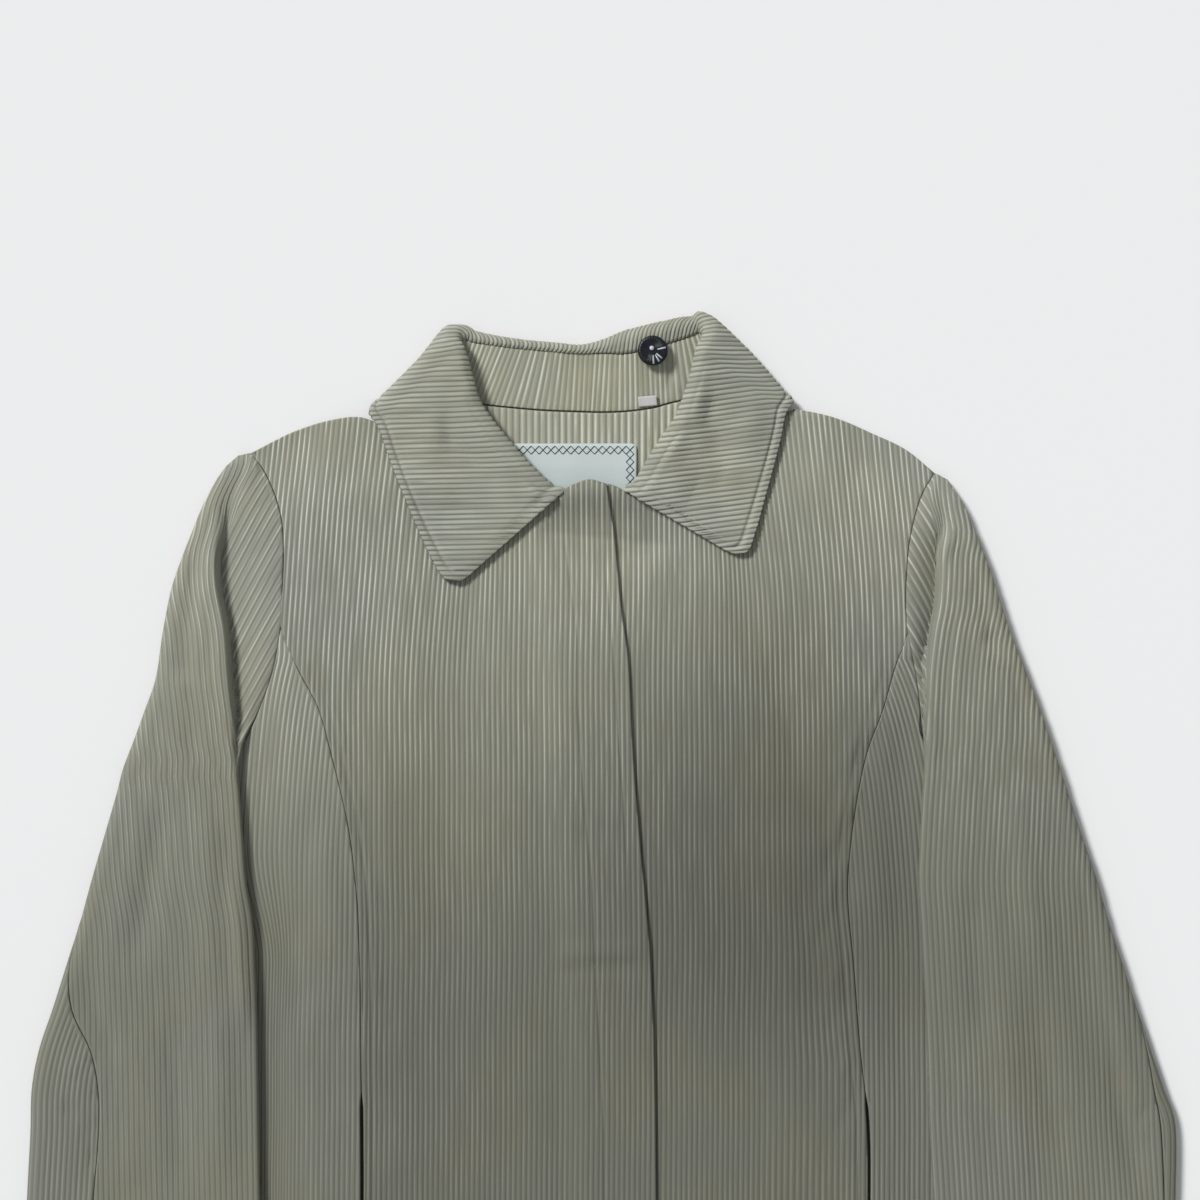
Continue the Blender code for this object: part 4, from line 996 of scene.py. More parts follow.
# top layer: valley and step beside the armhole, or the inner fold's turn, then the crown and the outer turn
def topSleeve(side):
    def surface(a, b):
        s = section(side, b)
        x, d = s["ix"] + a * s["ux"], s["iy"] + a * s["uy"]
        crown, length, turn = s["crown"], s["length"], sleeveLook["turn"] * s["scale"]
        # the floor is the least height that clears the under sleeve
        floor = sleeveBase(side, x, d) + 2 * coat["wall"] - coat["wall"] / 2 + coat["gap"]
        clear = length - s["hind"] - a
        fold = creased(x, d)
        crest = crown + fold * rise(clear / 16) * rise(a / 10)
        dome = sleeveLook["dome"] * s["scale"] * after(a, sleeveLook["domeRun"])
        crest = crest + dome * after(clear, sleeveLook["domeRun"])
        rollAt, rollHalf = sleeveLook["rollAt"]
        roll = np.exp(-(((a - s["edge"] - rollAt) / rollHalf) ** 2))
        crest = crest + sleeveLook["roll"] * s["step"] * (1 - s["fold"]) * roll
        middle = (crown + coat["wall"] / 2) / 2
        outer = middle + (crown - middle) * quarter((length - a) / turn) - crown
        low = sleeveBase(side, s["ix"], s["iy"]) + coat["wall"] / 2
        centre = (low + crown) / 2
        atFold = centre + 0.2 + (crest - centre - 0.2) * quarter(a / sleeveLook["innerTurn"])
        seam = frontBottom(side, s["ix"], s["iy"]) + coat["wall"] / 2
        near = sleeveLook["seamShare"]
        valley = s["step"] * sleeveLook["valley"] + (1 - s["step"]) * (near * seam + (1 - near) * crown)
        valley = valley + sleeveLook["valleyCrease"] * fold * rise(a / 6)
        share = np.clip(a / s["hollow"], 0, 1)
        atHole = seam + (valley - seam) * rise(share)
        puff = sleeveLook["capPuff"] * np.sin(math.pi * share)
        atHole = atHole + puff * rise(s["hollow"] / sleeveLook["puffFull"])
        run = sleeveLook["step"] * s["scale"] + sleeveLook["spread"] * (1 - s["step"])
        atHole = atHole + (crest - atHole) * rise((a - s["hollow"]) / run)
        atHole = np.maximum(atHole, np.where(a < length - turn, floor, 0))
        z = (1 - s["fold"]) * atHole + s["fold"] * atFold + outer
        return np.stack([x, d, z], -1)
    return surface


# under layer: bottom, round the outer fold by its travel a from the fold, and up to the hind seam
def underSleeve(side):
    def surface(a, b):
        s = section(side, b)
        floor = coat["wall"] / 2
        turn, height = sleeveLook["turn"] * s["scale"], (s["crown"] - floor) / 2
        arc = math.pi / 2 * np.sqrt((turn**2 + height**2) / 2)
        angle = np.clip(a / arc, -1, 1) * math.pi / 2
        past = np.maximum(np.abs(a) - arc, 0)
        along = s["length"] - turn * (1 - np.cos(angle)) - past
        x, d = s["ix"] + along * s["ux"], s["iy"] + along * s["uy"]
        z = floor + height + height * np.sin(angle)
        toSeam = s["hind"] - s["length"] + along
        fold = creased(x, d) * rise((a - arc) / 12) * rise((toSeam + 3) / 6)
        base = sleeveBase(side, x, d) + floor
        low = sleeveBase(side, s["ix"], s["iy"]) + floor
        centre = (low + s["crown"]) / 2 - 0.2
        turned = base + (centre - base) * (1 - quarter(along / 4.5)) * s["fold"]
        return np.stack([x, d, np.where(a < 0, np.maximum(z, turned), z + fold)], -1)
    return surface


# rows of a sleeve: evenly spaced in down, closer at the cap and the end
def sleeveRows():
    b = np.linspace(0, 24 * sleeveLook["station"], 2400)
    down = section("right", b)["iy"]
    wanted = np.concatenate([stepped(down[0], wale["farFrom"], sleeveLook["rowStep"]),
                             stepped(wale["farFrom"], down[-1], sleeveLook["farRowStep"])[1:]])
    rows = np.interp(wanted, down, b)
    return np.concatenate([[0, 0.9], rows[1:-1], [rows[-1] - 0.6, rows[-1]]])


# wale number counted outwards from the fold's edge: even beyond it; over the cap the wales slant to the
# armhole, and those that the fold hides are gathered at its foot; also how far they are squeezed together
def sleeveNumber(side, a, b):
    s, look, pitch = section(side, b), sleeveGrain[side], sleeveLook["pitch"]
    slant = math.radians(look["slant"])
    (creaseOut, creaseDown) = look["crease"]

    def capAt(a):
        out, down = np.abs(s["ix"] + a * s["ux"]), s["iy"] + a * s["uy"]
        past = (creaseOut - out) * math.cos(slant) + (down - creaseDown) * math.sin(slant)
        return -look["gathered"] - past / sleeveLook["capPitch"]

    foot = s["edge"] - s["gather"]
    atFoot = np.minimum(capAt(foot), -s["gather"] / pitch)
    gathered = atFoot * (s["edge"] - a) / s["gather"]
    onCap = atFoot + capAt(a) - capAt(foot)
    squeeze = np.clip(s["gather"] / (-atFoot * pitch), 0, 1)
    number = np.where(a >= s["edge"], (a - s["edge"]) / pitch, np.where(a >= foot, gathered, onCap))
    return number, np.where((a < s["edge"]) & (a > foot), squeeze, 1.0)


# both layers of a sleeve, each on a grid of its rows and of columns that follow the wales
def makeSleeves(side):
    rows, pitch, steps = sleeveRows(), sleeveLook["pitch"], wale["steps"]
    rim = 1.0
    top = topSleeve(side)
    s = section(side, rows)
    end = s["length"] - np.where(s["hind"] > 0.5, s["hind"] + 0.25, 0.0)
    lines = np.arange(-36 * steps, 46 * steps + 1) / steps
    low, a = 0.2, []
    for k, row in enumerate(rows):
        foot = s["edge"][k] - s["gather"][k]
        travel = np.sort(np.concatenate([np.linspace(-1, end[k] + 1, 500), [foot, s["edge"][k]]]))
        a.append(np.interp(lines, sleeveNumber(side, travel, row + 0 * travel)[0], travel))
    edge = np.minimum(rim, 0.3 * end)[:, None]
    a = np.clip(np.array(a), low + edge, end[:, None] - edge)
    a = np.hstack([low + 0 * edge, a, end[:, None]])
    b = np.broadcast_to(rows[:, None], a.shape).copy()

    def relief(a, b):
        number, squeeze = sleeveNumber(side, a, b)
        return wale["height"] * ridge(number, b) * squeeze**2

    def lifted(surface, by, turn):
        return lambda a, b: surface(a, b) + turn * by * normalsOf(surface, a, b, 1.0)

    # the inner skin's net keeps to the fold: a few points in the hollow, up the step and beyond it in each row
    net = []
    for k in range(2, len(rows) - 2, 2):
        foot, crest = s["edge"][k] - s["gather"][k], s["edge"][k]
        places = [*np.arange(4, foot - 1, 4.0), foot, (foot + crest) / 2, crest, crest + 2, crest + 5,
                  *np.arange(crest + 14, end[k] - 4, 14.0), end[k] - 4, end[k] - 1.5]
        places = [place for place in places if 1.2 < place < end[k] - 1.2]
        kept = [place for place, last in zip(places, [0] + places) if place - last > 0.7]
        net += [(place, rows[k]) for place in kept]
    middle = top(end / 2, rows)
    reachDown = float(np.linalg.norm(np.diff(middle, axis=0), axis=1).sum()) * 0.001
    turn = -1.0 if side == "right" else 1.0
    clothShell(
        f"top_sleeve_{side}", a, b, lifted(top, coat["wall"] / 2 - drop, turn), relief,
        sleeveLook["wall"] - drop + 0.2, turn, (14.0, 22.0),
        lambda a, b: np.stack([sleeveNumber(side, a, b)[0], b / 8.0], 1), sleeveFinish,
        net=np.array(net), size=(float(end.max()) * 0.001, reachDown),
    )

    under = underSleeve(side)
    fine = grainLines(-14, 56, pitch, steps)
    hidden = grainLines(-175, -14, pitch, wale["hiddenSteps"])  # the half that lies on the surface
    lines = np.concatenate([[-1e4], hidden[hidden < fine[0] - 0.1], fine, [1e4]])
    g, b = np.meshgrid(lines, rows)
    s = section(side, b)
    turnSize, height = sleeveLook["turn"] * s["scale"], (s["crown"] - 0.8) / 2
    arc = math.pi / 2 * np.sqrt((turnSize**2 + height**2) / 2)
    reach = np.where(s["hind"] > turnSize, s["hind"] + arc - turnSize,
                     arc * np.arccos(np.clip(1 - s["hind"] / turnSize, -1, 1)) / (math.pi / 2)) - 0.25
    low = -(s["length"] - turnSize + arc) + 0.2
    a = np.clip(g, low + rim, reach - rim)
    a[:, 0], a[:, -1] = low[:, 0], reach[:, -1]
    turn = 1.0 if side == "right" else -1.0
    clothShell(
        f"under_sleeve_{side}", a, b, lifted(under, coat["wall"] / 2 - drop, turn),
        lambda a, b: (wale["height"] * 0.7 + 0.3 * wale["height"] * (a > -8)) * ridge(a / pitch, b),
        sleeveLook["wall"] - drop + 0.2, turn, (16.0, 26.0),
        waleMap(pitch, 8.0), sleeveFinish,
        size=(float((reach - low).max()) * 0.001, reachDown),
    )


for side in ("right", "left"):
    makeSleeves(side)
print("sleeves ready")

# Collar: sections by neck, roll and free edge, and how far below the roll the stand is joined
collarFront = {
    "right": (
        (-24.2, 57.6, -20.5, 55, -81, 107.5, 2.6),
        (-36, 59, -30, 50.5, -89, 110, 4.5),
        (-50, 53.5, -40.5, 41, -96, 104.5, 7),
        (-66, 45, -51.3, 29, -104, 89.5, 9),
        (-80, 33, -63, 15, -110.5, 75, 9),
        (-90, 20, -72, 2, -117.5, 58, 9),
        (-96, 9, -77, -14, -126, 36.5, 9),
        (-98.5, 7.2, -82, -31, -133.5, 16, 9),
    ),
    "left": (
        (18.6, 56.6, 14.2, 54.8, 79, 92.6, 2.6),
        (34, 59, 22.8, 46.6, 88, 91.5, 5.5),
        (48, 52.5, 29.7, 35.4, 93.5, 79, 8),
        (62, 43, 37.6, 22.7, 97.5, 65, 9),
        (73.5, 31, 46, 10, 101.5, 50, 9),
        (81, 19.5, 51.4, -4, 105.5, 35, 9),
        (85.5, 12.4, 55.2, -17, 109, 21, 9),
        (88, 9.5, 58.6, -31, 111.5, 8.5, 9),
    ),
}
collarBack = (
    (-90, 2.5, -75.5, -41, -116, 11, 6, 6.4),
    (-78, 2, -62, -37.8, -98, 27, 5, 7.4),
    (-60, 3.8, -46, -35.4, -66, 31, 4.5, 7.8),
    (-35, 6, -28, -33.8, -34, 33, 4.5, 8),
    (-12, 6.9, -10, -32.6, -10, 33.5, 4.5, 8),
    (0, 7.2, 3, -36, 6, 33, 8, 8.6),
    (14, 6.8, 14, -40.5, 26, 33, 13, 9.4),
    (30, 4.8, 28, -44.2, 50, 31, 14, 9.6),
    (46, 0.8, 42, -47.4, 74, 27, 13, 9),
    (60, -2, 49, -49, 87, 21, 12, 7.8),
    (78, -1.5, 55, -49.6, 98, 9, 10, 6.6),
)
collarLook = {
    "noseOut": {"right": ((-0.693, -0.721), (5, 6, 5.5, 8, 14, 13.5, 15)),
                "left": ((0.665, -0.747), (4.5, 3, 5.5, 10, 13, 15, 12.5))},
    "noseTurn": (45, 0, -45),
    "frontZ": (10.2, 10.3, 12.6, 15.0, 12.6),
    "noseLift": 2.0,
    "neckBackZ": 3.7,
    "frontGap": 1.3,
    "wall": 2.0,
    "pitch": 3.05,
    "standPitch": 2.95,
    "standWall": 1.2,
    "edgeStitch": 6.3,
    "seam": 0.2,
    "notch": 1.2,
    "stitchHalf": 1.2,
    "relief": 0.72,
    "dent": 0.7,
    "swell": 0.5,
    "tipRound": 4.5,
    "neckTuck": 0.7,
    "rollIn": (3.2, 0.55),
    "rollOut": 3.8,
    "middleAt": 0.42,
    "noseRun": (5.0, 36.0),
    "frontLift": 3.4,
    "edgeRows": 20,
    "edgeWidth": 13.0,
    "slope": {"right": 0.02, "left": 0.13},
}
collarCreases = (
    (-94, 18, -64, 47, 8, -3.0),
    (-74, 4, -50, 36, 7, 1.4),
    (-112, 30, -92, 62, 12, 1.2),
    (-60, 56, -84, 78, 8, -0.9),
    (61, 4, 72, 26, 7.5, -3.2),
    (72, 26, 78, 46, 8, -2.4),
    (56, -12, 62, 6, 7, 1.2),
    (92, 6, 86, 34, 9, 1.8),
    (44, 44, 66, 66, 9, 1.0),
    (80, 56, 84, 78, 8, -1.0),
    (-104, 66, -82, 84, 7, -0.8),
    (92, 50, 96, 70, 6, -0.9),
)
standCreases = ((36, -18, 52, -6, 3.5, 1.2), (44, -26, 40, -6, 3.0, -1.0), (-20, -22, 14, -18, 7, -0.8),
                (-70, -30, -66, -8, 3, -0.8))


# a smooth line through control points with a count of steps for each stretch, as cubic Hermite pieces
def through(controls, counts):
    points = np.array(controls, float)
    gaps = np.linalg.norm(np.diff(points, axis=0), axis=1)
    slopes = np.diff(points, axis=0) / gaps[:, None]
    inner = (slopes[1:] * gaps[:-1, None] + slopes[:-1] * gaps[1:, None]) / (gaps[1:] + gaps[:-1])[:, None]
    tangents = np.vstack([slopes[:1], inner, slopes[-1:]])
    reach = 1.5 * np.minimum(np.append(gaps, gaps[-1]), np.append(gaps[0], gaps))
    made = [points[:1]]
    for k, count in enumerate(counts):
        start, leaving, end, arriving = hermite(np.linspace(0, 1, count + 1)[1:, None])
        made.append(start * points[k] + leaving * min(gaps[k], reach[k]) * tangents[k]
                    + end * points[k + 1] + arriving * min(gaps[k], reach[k + 1]) * tangents[k + 1])
    return np.vstack(made)


# plan places of a section: neck, join with the stand, roll's inner side, roll, its outer side, middle, edge
def collarPlan(row):
    neck, roll, edge = (np.array(row[k : k + 2], float) for k in (0, 2, 4))
    toNeck = (neck - roll) / np.linalg.norm(neck - roll)
    toEdge = (edge - roll) / np.linalg.norm(edge - roll)
    most, share = collarLook["rollIn"]
    return np.array((neck - collarLook["neckTuck"] * toNeck, roll + row[6] * toNeck,
                     roll + min(most, share * row[6]) * toNeck, roll, roll + collarLook["rollOut"] * toEdge,
                     roll + collarLook["middleAt"] * (edge - roll), edge))


# height of the fall's middle where it lies on a front
def onFront(side, x, d):
    return frontTop(side, x, d) + collarLook["frontGap"] + coat["collarWall"] / 2


# a section's control points over a front
def frontControls(side, row):
    plan = collarPlan(row)
    lie = onFront(side, plan[:, 0], plan[:, 1])
    under = float(frontTop(side, np.array(row[0], float), np.array(row[1], float))) - coat["wall"] / 2
    neck = max(under, collarLook["neckBackZ"] + collarLook["frontLift"])
    begins, run = collarLook["noseRun"]
    lift = collarLook["noseLift"] * float(rise((begins - row[3]) / run))
    seam, crest, roll, over, middle = collarLook["frontZ"]
    z = (neck, seam + lift, crest + lift, roll + lift, over + lift, max(lie[5], middle), lie[6])
    return np.column_stack([plan, z])


# a section's control points behind the neck, where the fall is turned under the back
def backControls(row):
    low, crest = coat["collarWall"] / 2, row[7] + 1.0
    z = (collarLook["neckBackZ"], row[7], crest, (crest + low) / 2, low + 0.05, low, low)
    return np.column_stack([collarPlan(row), z])


# sections between a front and a back one: round a half circle, and out to the collar's side
def noseControls(side, front, back):
    direction, swing = collarLook["noseOut"][side]
    out = np.array(swing, float)[:, None] * np.array((*direction, 0.0))
    angles = np.radians(collarLook["noseTurn"])
    return [(front + back) / 2 + (front - back) / 2 * math.sin(t) + out * math.cos(t) for t in angles]


fallCounts = (3, 4, 4, 10, 14)


# middle points of the stand and of the fall at each section
def collarSections():
    right = [frontControls("right", row) for row in collarFront["right"]]
    left = [frontControls("left", row) for row in collarFront["left"]]
    back = [backControls(row) for row in collarBack]
    overRight = noseControls("right", right[-1], back[0])
    overLeft = noseControls("left", left[-1], back[-1])
    stands, falls = [], []
    for controls in right + overRight + back + overLeft[::-1] + left[::-1]:
        neck, seam = controls[:2]
        unit = (seam - neck) / np.linalg.norm(seam - neck)
        stands.append(np.linspace(neck, seam - collarLook["seam"] * unit, 8))
        fall = through(controls[1:], fallCounts)
        fall[0] += collarLook["seam"] * unit
        falls.append(fall)
    stands, falls = np.array(stands), np.array(falls)
    first = 1 + sum(fallCounts[:3]) + 2
    for side, rows in (("right", slice(0, len(right))), ("left", slice(-len(left), None))):
        part = falls[rows, first:]
        part[..., 2] = np.maximum(part[..., 2], onFront(side, part[..., 0], part[..., 1]))
        part[..., 2] += foldSum(collarCreases, part[..., 0], part[..., 1])
    falls[..., 2] = np.maximum(falls[..., 2], coat["collarWall"] / 2)
    return stands, falls, len(right)


# sections carried smoothly along the band: s counts millimetres along one of its columns, t those across it
class Band:
    def __init__(self, sections, column):
        widths = np.linalg.norm(np.diff(sections, axis=1), axis=2).mean(0)
        gaps = np.linalg.norm(np.diff(sections[:, column], axis=0), axis=1)
        self.across = np.concatenate([[0], np.cumsum(widths)])
        self.along = np.concatenate([[0], np.cumsum(gaps)])
        self.sections, self.slope = sections, np.gradient(sections, self.along, axis=0)

    def at(self, s, t):
        k = np.clip(np.searchsorted(self.across, t, "right") - 1, 0, len(self.across) - 2)
        f = ((t - self.across[k]) / (self.across[k + 1] - self.across[k]))[..., None]
        n = np.clip(np.searchsorted(self.along, s, "right") - 1, 0, len(self.along) - 2)
        h = (self.along[n + 1] - self.along[n])[..., None]
        start, leaving, end, arriving = hermite((s - self.along[n])[..., None] / h)
        mix = lambda grid, row: grid[row, k] * (1 - f) + grid[row, k + 1] * f
        return (start * mix(self.sections, n) + leaving * h * mix(self.slope, n)
                + end * mix(self.sections, n + 1) + arriving * h * mix(self.slope, n + 1))


# fall and stand, each a band on a grid of its wales and its rows
def makeCollar():
    stands, falls, fronts = collarSections()
    fall = Band(falls, sum(fallCounts[:4]))
    along, across, pitch = fall.along, fall.across, collarLook["pitch"]

    # grain number over the band: down on the fronts, length along it over the nose and the back
    fine = np.linspace(0, along[-1], 1500)
    rows, width = collarLook["edgeRows"], collarLook["edgeWidth"]
    inner = across[-1] - width
    t = np.concatenate([np.linspace(0, inner, 66), inner + np.cumsum(np.full(rows, width / rows))])
    t[-1] = across[-1]
    ss, tt = np.meshgrid(fine, t, indexing="ij")
    p = fall.at(ss, tt)
    slope = collarLook["slope"]
    gRight = -(p[..., 1] + slope["right"] * p[..., 0])
    gLeft = p[..., 1] + slope["left"] * p[..., 0]
    first, last = np.searchsorted(fine, [along[fronts - 1], along[-fronts]])
    # round the back each wale runs on from its place at one end to its place at the other
    steps = np.linalg.norm(np.diff(p[first : last + 1], axis=0), axis=2)
    travelled = np.vstack([0 * steps[:1], np.cumsum(steps, axis=0)])
    shift = (travelled[-1] - (gLeft[last] - gRight[first])).mean()
    back = gRight[first] + travelled / travelled[-1] * (gLeft[last] + shift - gRight[first])
    g = np.vstack([gRight[:first], back, gLeft[last + 1 :] + shift])
    g = np.maximum.accumulate(g + 1e-5 * ss, axis=0)
    # grain number again at any point, by lookup in the same table
    def number(s, q):
        i = np.clip(s / fine[1], 0, len(fine) - 1.001)
        j = np.interp(q, t, np.arange(len(t)))
        j = np.clip(j, 0, len(t) - 1.001)
        i0, j0 = i.astype(int), j.astype(int)
        fi, fj = i - i0, j - j0
        return ((g[i0, j0] * (1 - fj) + g[i0, j0 + 1] * fj) * (1 - fi)
                + (g[i0 + 1, j0] * (1 - fj) + g[i0 + 1, j0 + 1] * fj) * fi) / pitch

    print("collar grain from", round(float(g.min())), "to", round(float(g.max())))
    lines = grainLines(float(g.min()), float(g.max()), pitch, wale["steps"])
    rim = 0.9
    a = np.stack([np.interp(lines, g[:, j], fine) for j in range(len(t))], 1)
    # the tips are rounded: both ends of the band draw in over the last millimetres of its width
    radius = collarLook["tipRound"]
    tip = radius - np.sqrt(np.maximum(radius**2 - np.maximum(t - (across[-1] - radius), 0) ** 2, 0))
    a = np.clip(a, tip + rim, along[-1] - tip - rim)
    a = np.vstack([tip, a, along[-1] - tip])
    b = np.broadcast_to(t, a.shape).copy()
    # wales stand out over the free edges like the strands of a rope
    notch = collarLook["notch"]
    b[:, -1] -= notch * (1 - ridge(number(a[:, -1], b[:, -1]), b[:, -1]))
    a[0] += notch * (1 - ridge(number(a[0], b[0]), b[0]))
    a[-1] -= notch * (1 - ridge(number(a[-1], b[-1]), b[-1]))

    # the topstitching's narrow trough beside the free edges, and the swelling between it and the edge
    def fromEdge(s, q):
        return np.minimum(across[-1] - q, np.minimum(s, along[-1] - s) * 0.95)

    def dent(s, q):
        return np.exp(-(((fromEdge(s, q) - collarLook["edgeStitch"]) / collarLook["stitchHalf"]) ** 2))

    def swell(s, q):
        return 1 + collarLook["swell"] * np.exp(-(((fromEdge(s, q) - 3) / 2.2) ** 2))

    lifted = lambda s, q: fall.at(s, q) - (coat["collarWall"] / 2 - drop) * normalsOf(fall.at, s, q, 1.0)
    clothShell(
        "collar_fall", a, b, lifted,
        lambda s, q: (collarLook["relief"] * ridge(number(s, q), q) * swell(s, q) * (1 - 0.85 * dent(s, q))
                      - collarLook["dent"] * dent(s, q)),
        collarLook["wall"] - drop, -1.0, (9.0, 9.0),
        # the map's second value counts back from the free edge, along which the finish paints shade
        lambda s, q: np.stack([number(s, q), (q - across[-1]) / 10.0], 1), collarFinish,
        (0.8, 0.8, 0.6, 0.8),
    )

    # stand: the same way, with straight sections and wales across the band
    stand, pitch, rim = Band(stands, -1), collarLook["standPitch"], 0.5
    length, width = stand.along[-1], stand.across[-1]
    lines = grainLines(0, length, pitch, wale["steps"])
    rows = np.concatenate([[0, rim], np.linspace(rim, width - rim, 12)[1:-1], [width - rim, width]])
    a = np.clip(np.concatenate([[-1.0], lines, [length + 1]]), rim, length - rim)
    a[0], a[-1] = 0, length
    a, b = np.meshgrid(a, rows, indexing="ij")

    def rumpled(s, q):
        p = stand.at(s, q)
        return (p - (coat["wall"] / 2 - drop) * normalsOf(stand.at, s, q, 1.0)
                + foldSum(standCreases, p[..., 0], p[..., 1])[..., None] * np.array((0, 0, 1.0)))

    clothShell(
        "collar_stand", a, b, rumpled, lambda s, q: wale["height"] * 0.6 * ridge(s / pitch, q),
        collarLook["standWall"] - drop + 0.2, -1.0, (9.0, 7.0), waleMap(pitch), facingFinish,
        (0, 0, 0.6, 0.7),
    )


makeCollar()
print("collar ready")

# Facing, label and tag
neckLook = {"facingWall": 1.2, "labelWall": 1.0, "facingPitch": 4.0, "facingEnd": 85.4, "facingHeight": 0.75,
            "labelBox": (-54.0, 26.0, 22.0, 60.0), "corner": 3.0}
facingEdge = {"right": ((-81.4, 0), (-81.4, 40), (-71.4, 70), (-40, 85.4)),
              "left": ((56.6, 0), (55.4, 45), (37.5, 78), (0, 85.4))}


# height of the back's upper side, with the gap over it
def onBack(x, d):
    return neckLift(x, d) + coat["wall"] + coat["gap"]


# the facing: level on the back, between the neck seam and a rounded lower edge
def makeFacing():
    pitch = neckLook["facingPitch"]
    a, b = planGrid(grainLines(-84, 60, pitch, 8), stepped(0, 86, 3.0), lambda d: xAt(facingEdge["right"], d),
                    lambda d: xAt(facingEdge["left"], d), lambda x: downAt(backNeck, x) + 0.6,
                    level(neckLook["facingEnd"]), upright, 0.5)
    clothShell(
        "back_neck_facing", a, b,
        lambda x, d: np.stack([x, d, onBack(x, d) + neckLook["facingWall"] - 0.6], -1),
        lambda x, d: neckLook["facingHeight"] * ridge(x / pitch, d), 0.6, 1.0, (16.0, 16.0), waleMap(pitch),
        facingFinish, (0.7, 0, 0, 0),
    )


makeFacing()

labelFinish = Finish("label_satin", 0.38, Sheen_Weight=0.1)
spot = labelFinish.place()
weave, wide = labelFinish.noise(spot, 1400.0, 1.0), labelFinish.noise(spot, 30.0, 2.0)
satin = labelFinish.mix(wide * 0.7 + weave * 0.3, (0.47, 0.54, 0.525, 1), (0.60, 0.66, 0.645, 1))
labelFinish.feed("Base Color", satin)
labelFinish.bump(weave, 0.25, 0.0002)


# the label's upper side: a wall over the facing, in two low waves that start below its upper edge
def labelTop(x, d):
    wave = 0.35 * np.sin((x + 54) / 12.0) + 0.25 * np.sin((d - 26) / 9.0 + x / 20.0)
    bare = onBack(x, d) + neckLook["facingWall"] + coat["gap"] + neckLook["labelWall"]
    return bare + wave * rise((d - 30) / 12)


# many flat bars as one mesh: from start to end, in width and height, each a box of six faces
def bars(name, starts, ends, widths, heights, finish):
    starts, ends = np.array(starts, float), np.array(ends, float)
    widths = np.broadcast_to(np.array(widths, float), (len(starts), 2))
    run = (ends - starts) / np.linalg.norm(ends - starts, axis=1)[:, None]
    aside = np.cross(run, (0, 0, 1.0))
    up = np.cross(aside, run)
    corners = []
    for end, width in ((starts, widths[:, :1]), (ends, widths[:, 1:])):
        for over, high in ((-1, 0), (1, 0), (1, 1), (-1, 1)):
            corners.append(end + aside * over * width / 2 + up * high * heights)
    points = np.stack(corners, 1).reshape(-1, 3)
    box = np.array(((0, 1, 2, 3), (7, 6, 5, 4), (0, 4, 5, 1), (1, 5, 6, 2), (2, 6, 7, 3), (3, 7, 4, 0)))
    quads = (np.arange(len(starts))[:, None, None] * 8 + box).reshape(-1, 4)
    thing = meshFrom(name, points, quads, np.zeros((0, 3), int), np.zeros((len(points), 2)))
    thing.data.materials.append(finish)
    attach(thing, "root")
    return thing


threadFinish, _ = speckled("dark_thread", 0.75, 2200.0, (0.012, 0.014, 0.018, 1), (0.05, 0.055, 0.06, 1))
stitchLook = {"pitch": 4.75, "inset": 4.0, "half": (2.3, 2.4), "width": 0.42, "thick": 0.25, "over": 0.02}


# a row of crossed stitches inside the label's edge, all round
def makeStitches():
    x0, d0, x1, d1 = neckLook["labelBox"]
    inset, pitch = stitchLook["inset"], stitchLook["pitch"]
    alongX = np.arange(x1 - inset, x0 + inset - 1, -pitch)
    alongD = np.arange(d0 + inset, d1 - inset + 1, pitch)
    centres = [(x, d0 + inset) for x in alongX] + [(x, d1 - inset) for x in alongX]
    centres += [(x, d) for x in (x1 - inset, x0 + inset) for d in alongD[1:-1]]
    centres = np.array(centres)
    halfX, halfD = stitchLook["half"]
    starts, ends = [], []
    for over in (1, -1):
        for cx, cd in centres:
            ax, ad, bx, bd = cx - over * halfX, cd - halfD, cx + over * halfX, cd + halfD
            starts.append((ax, ad, float(labelTop(ax, ad)) + stitchLook["over"]))
            ends.append((bx, bd, float(labelTop(bx, bd)) + stitchLook["over"]))
    return bars("label_stitches", starts, ends, stitchLook["width"], stitchLook["thick"], threadFinish.made)


# the label: a level sheet with one rounded upper corner
def makeLabel():
    stitches = makeStitches()
    x0, d0, x1, d1 = neckLook["labelBox"]
    r = neckLook["corner"]
    a, b = planGrid(stepped(x0, x1, 1.6), stepped(d0, d1, 1.6), level(x0), level(x1),
                    lambda x: d0 + r - np.sqrt(np.maximum(r * r - np.maximum(x - (x1 - r), 0) ** 2, 0)),
                    level(d1), upright, 0.5)
    clothShell(
        "label", a, b, lambda x, d: np.stack([x, d, labelTop(x, d) - 0.2], -1),
        lambda x, d: 0.2 + 0.0 * x, 0.7, 1.0, (8.0, 8.0), waleMap(4), labelFinish.made,
        (0, 0, 0, 0),
    )


makeLabel()

tagFinish, ribs = speckled("tag_tape", 0.6, 1800.0, (0.46, 0.44, 0.43, 1), (0.62, 0.60, 0.58, 1))
tagFinish.bump(ribs, 0.3, 0.0002)
# The tag lies on the stand, which rises by climb from low over run; turned is its skew in plan
tagLook = {"at": (28.6, 0.6), "size": (11.0, 6.0), "low": 3.7, "climb": 5.9, "run": 35.0, "foot": 5.0,
           "over": 2.2, "wave": 0.35, "turned": (0.10, 0.08)}


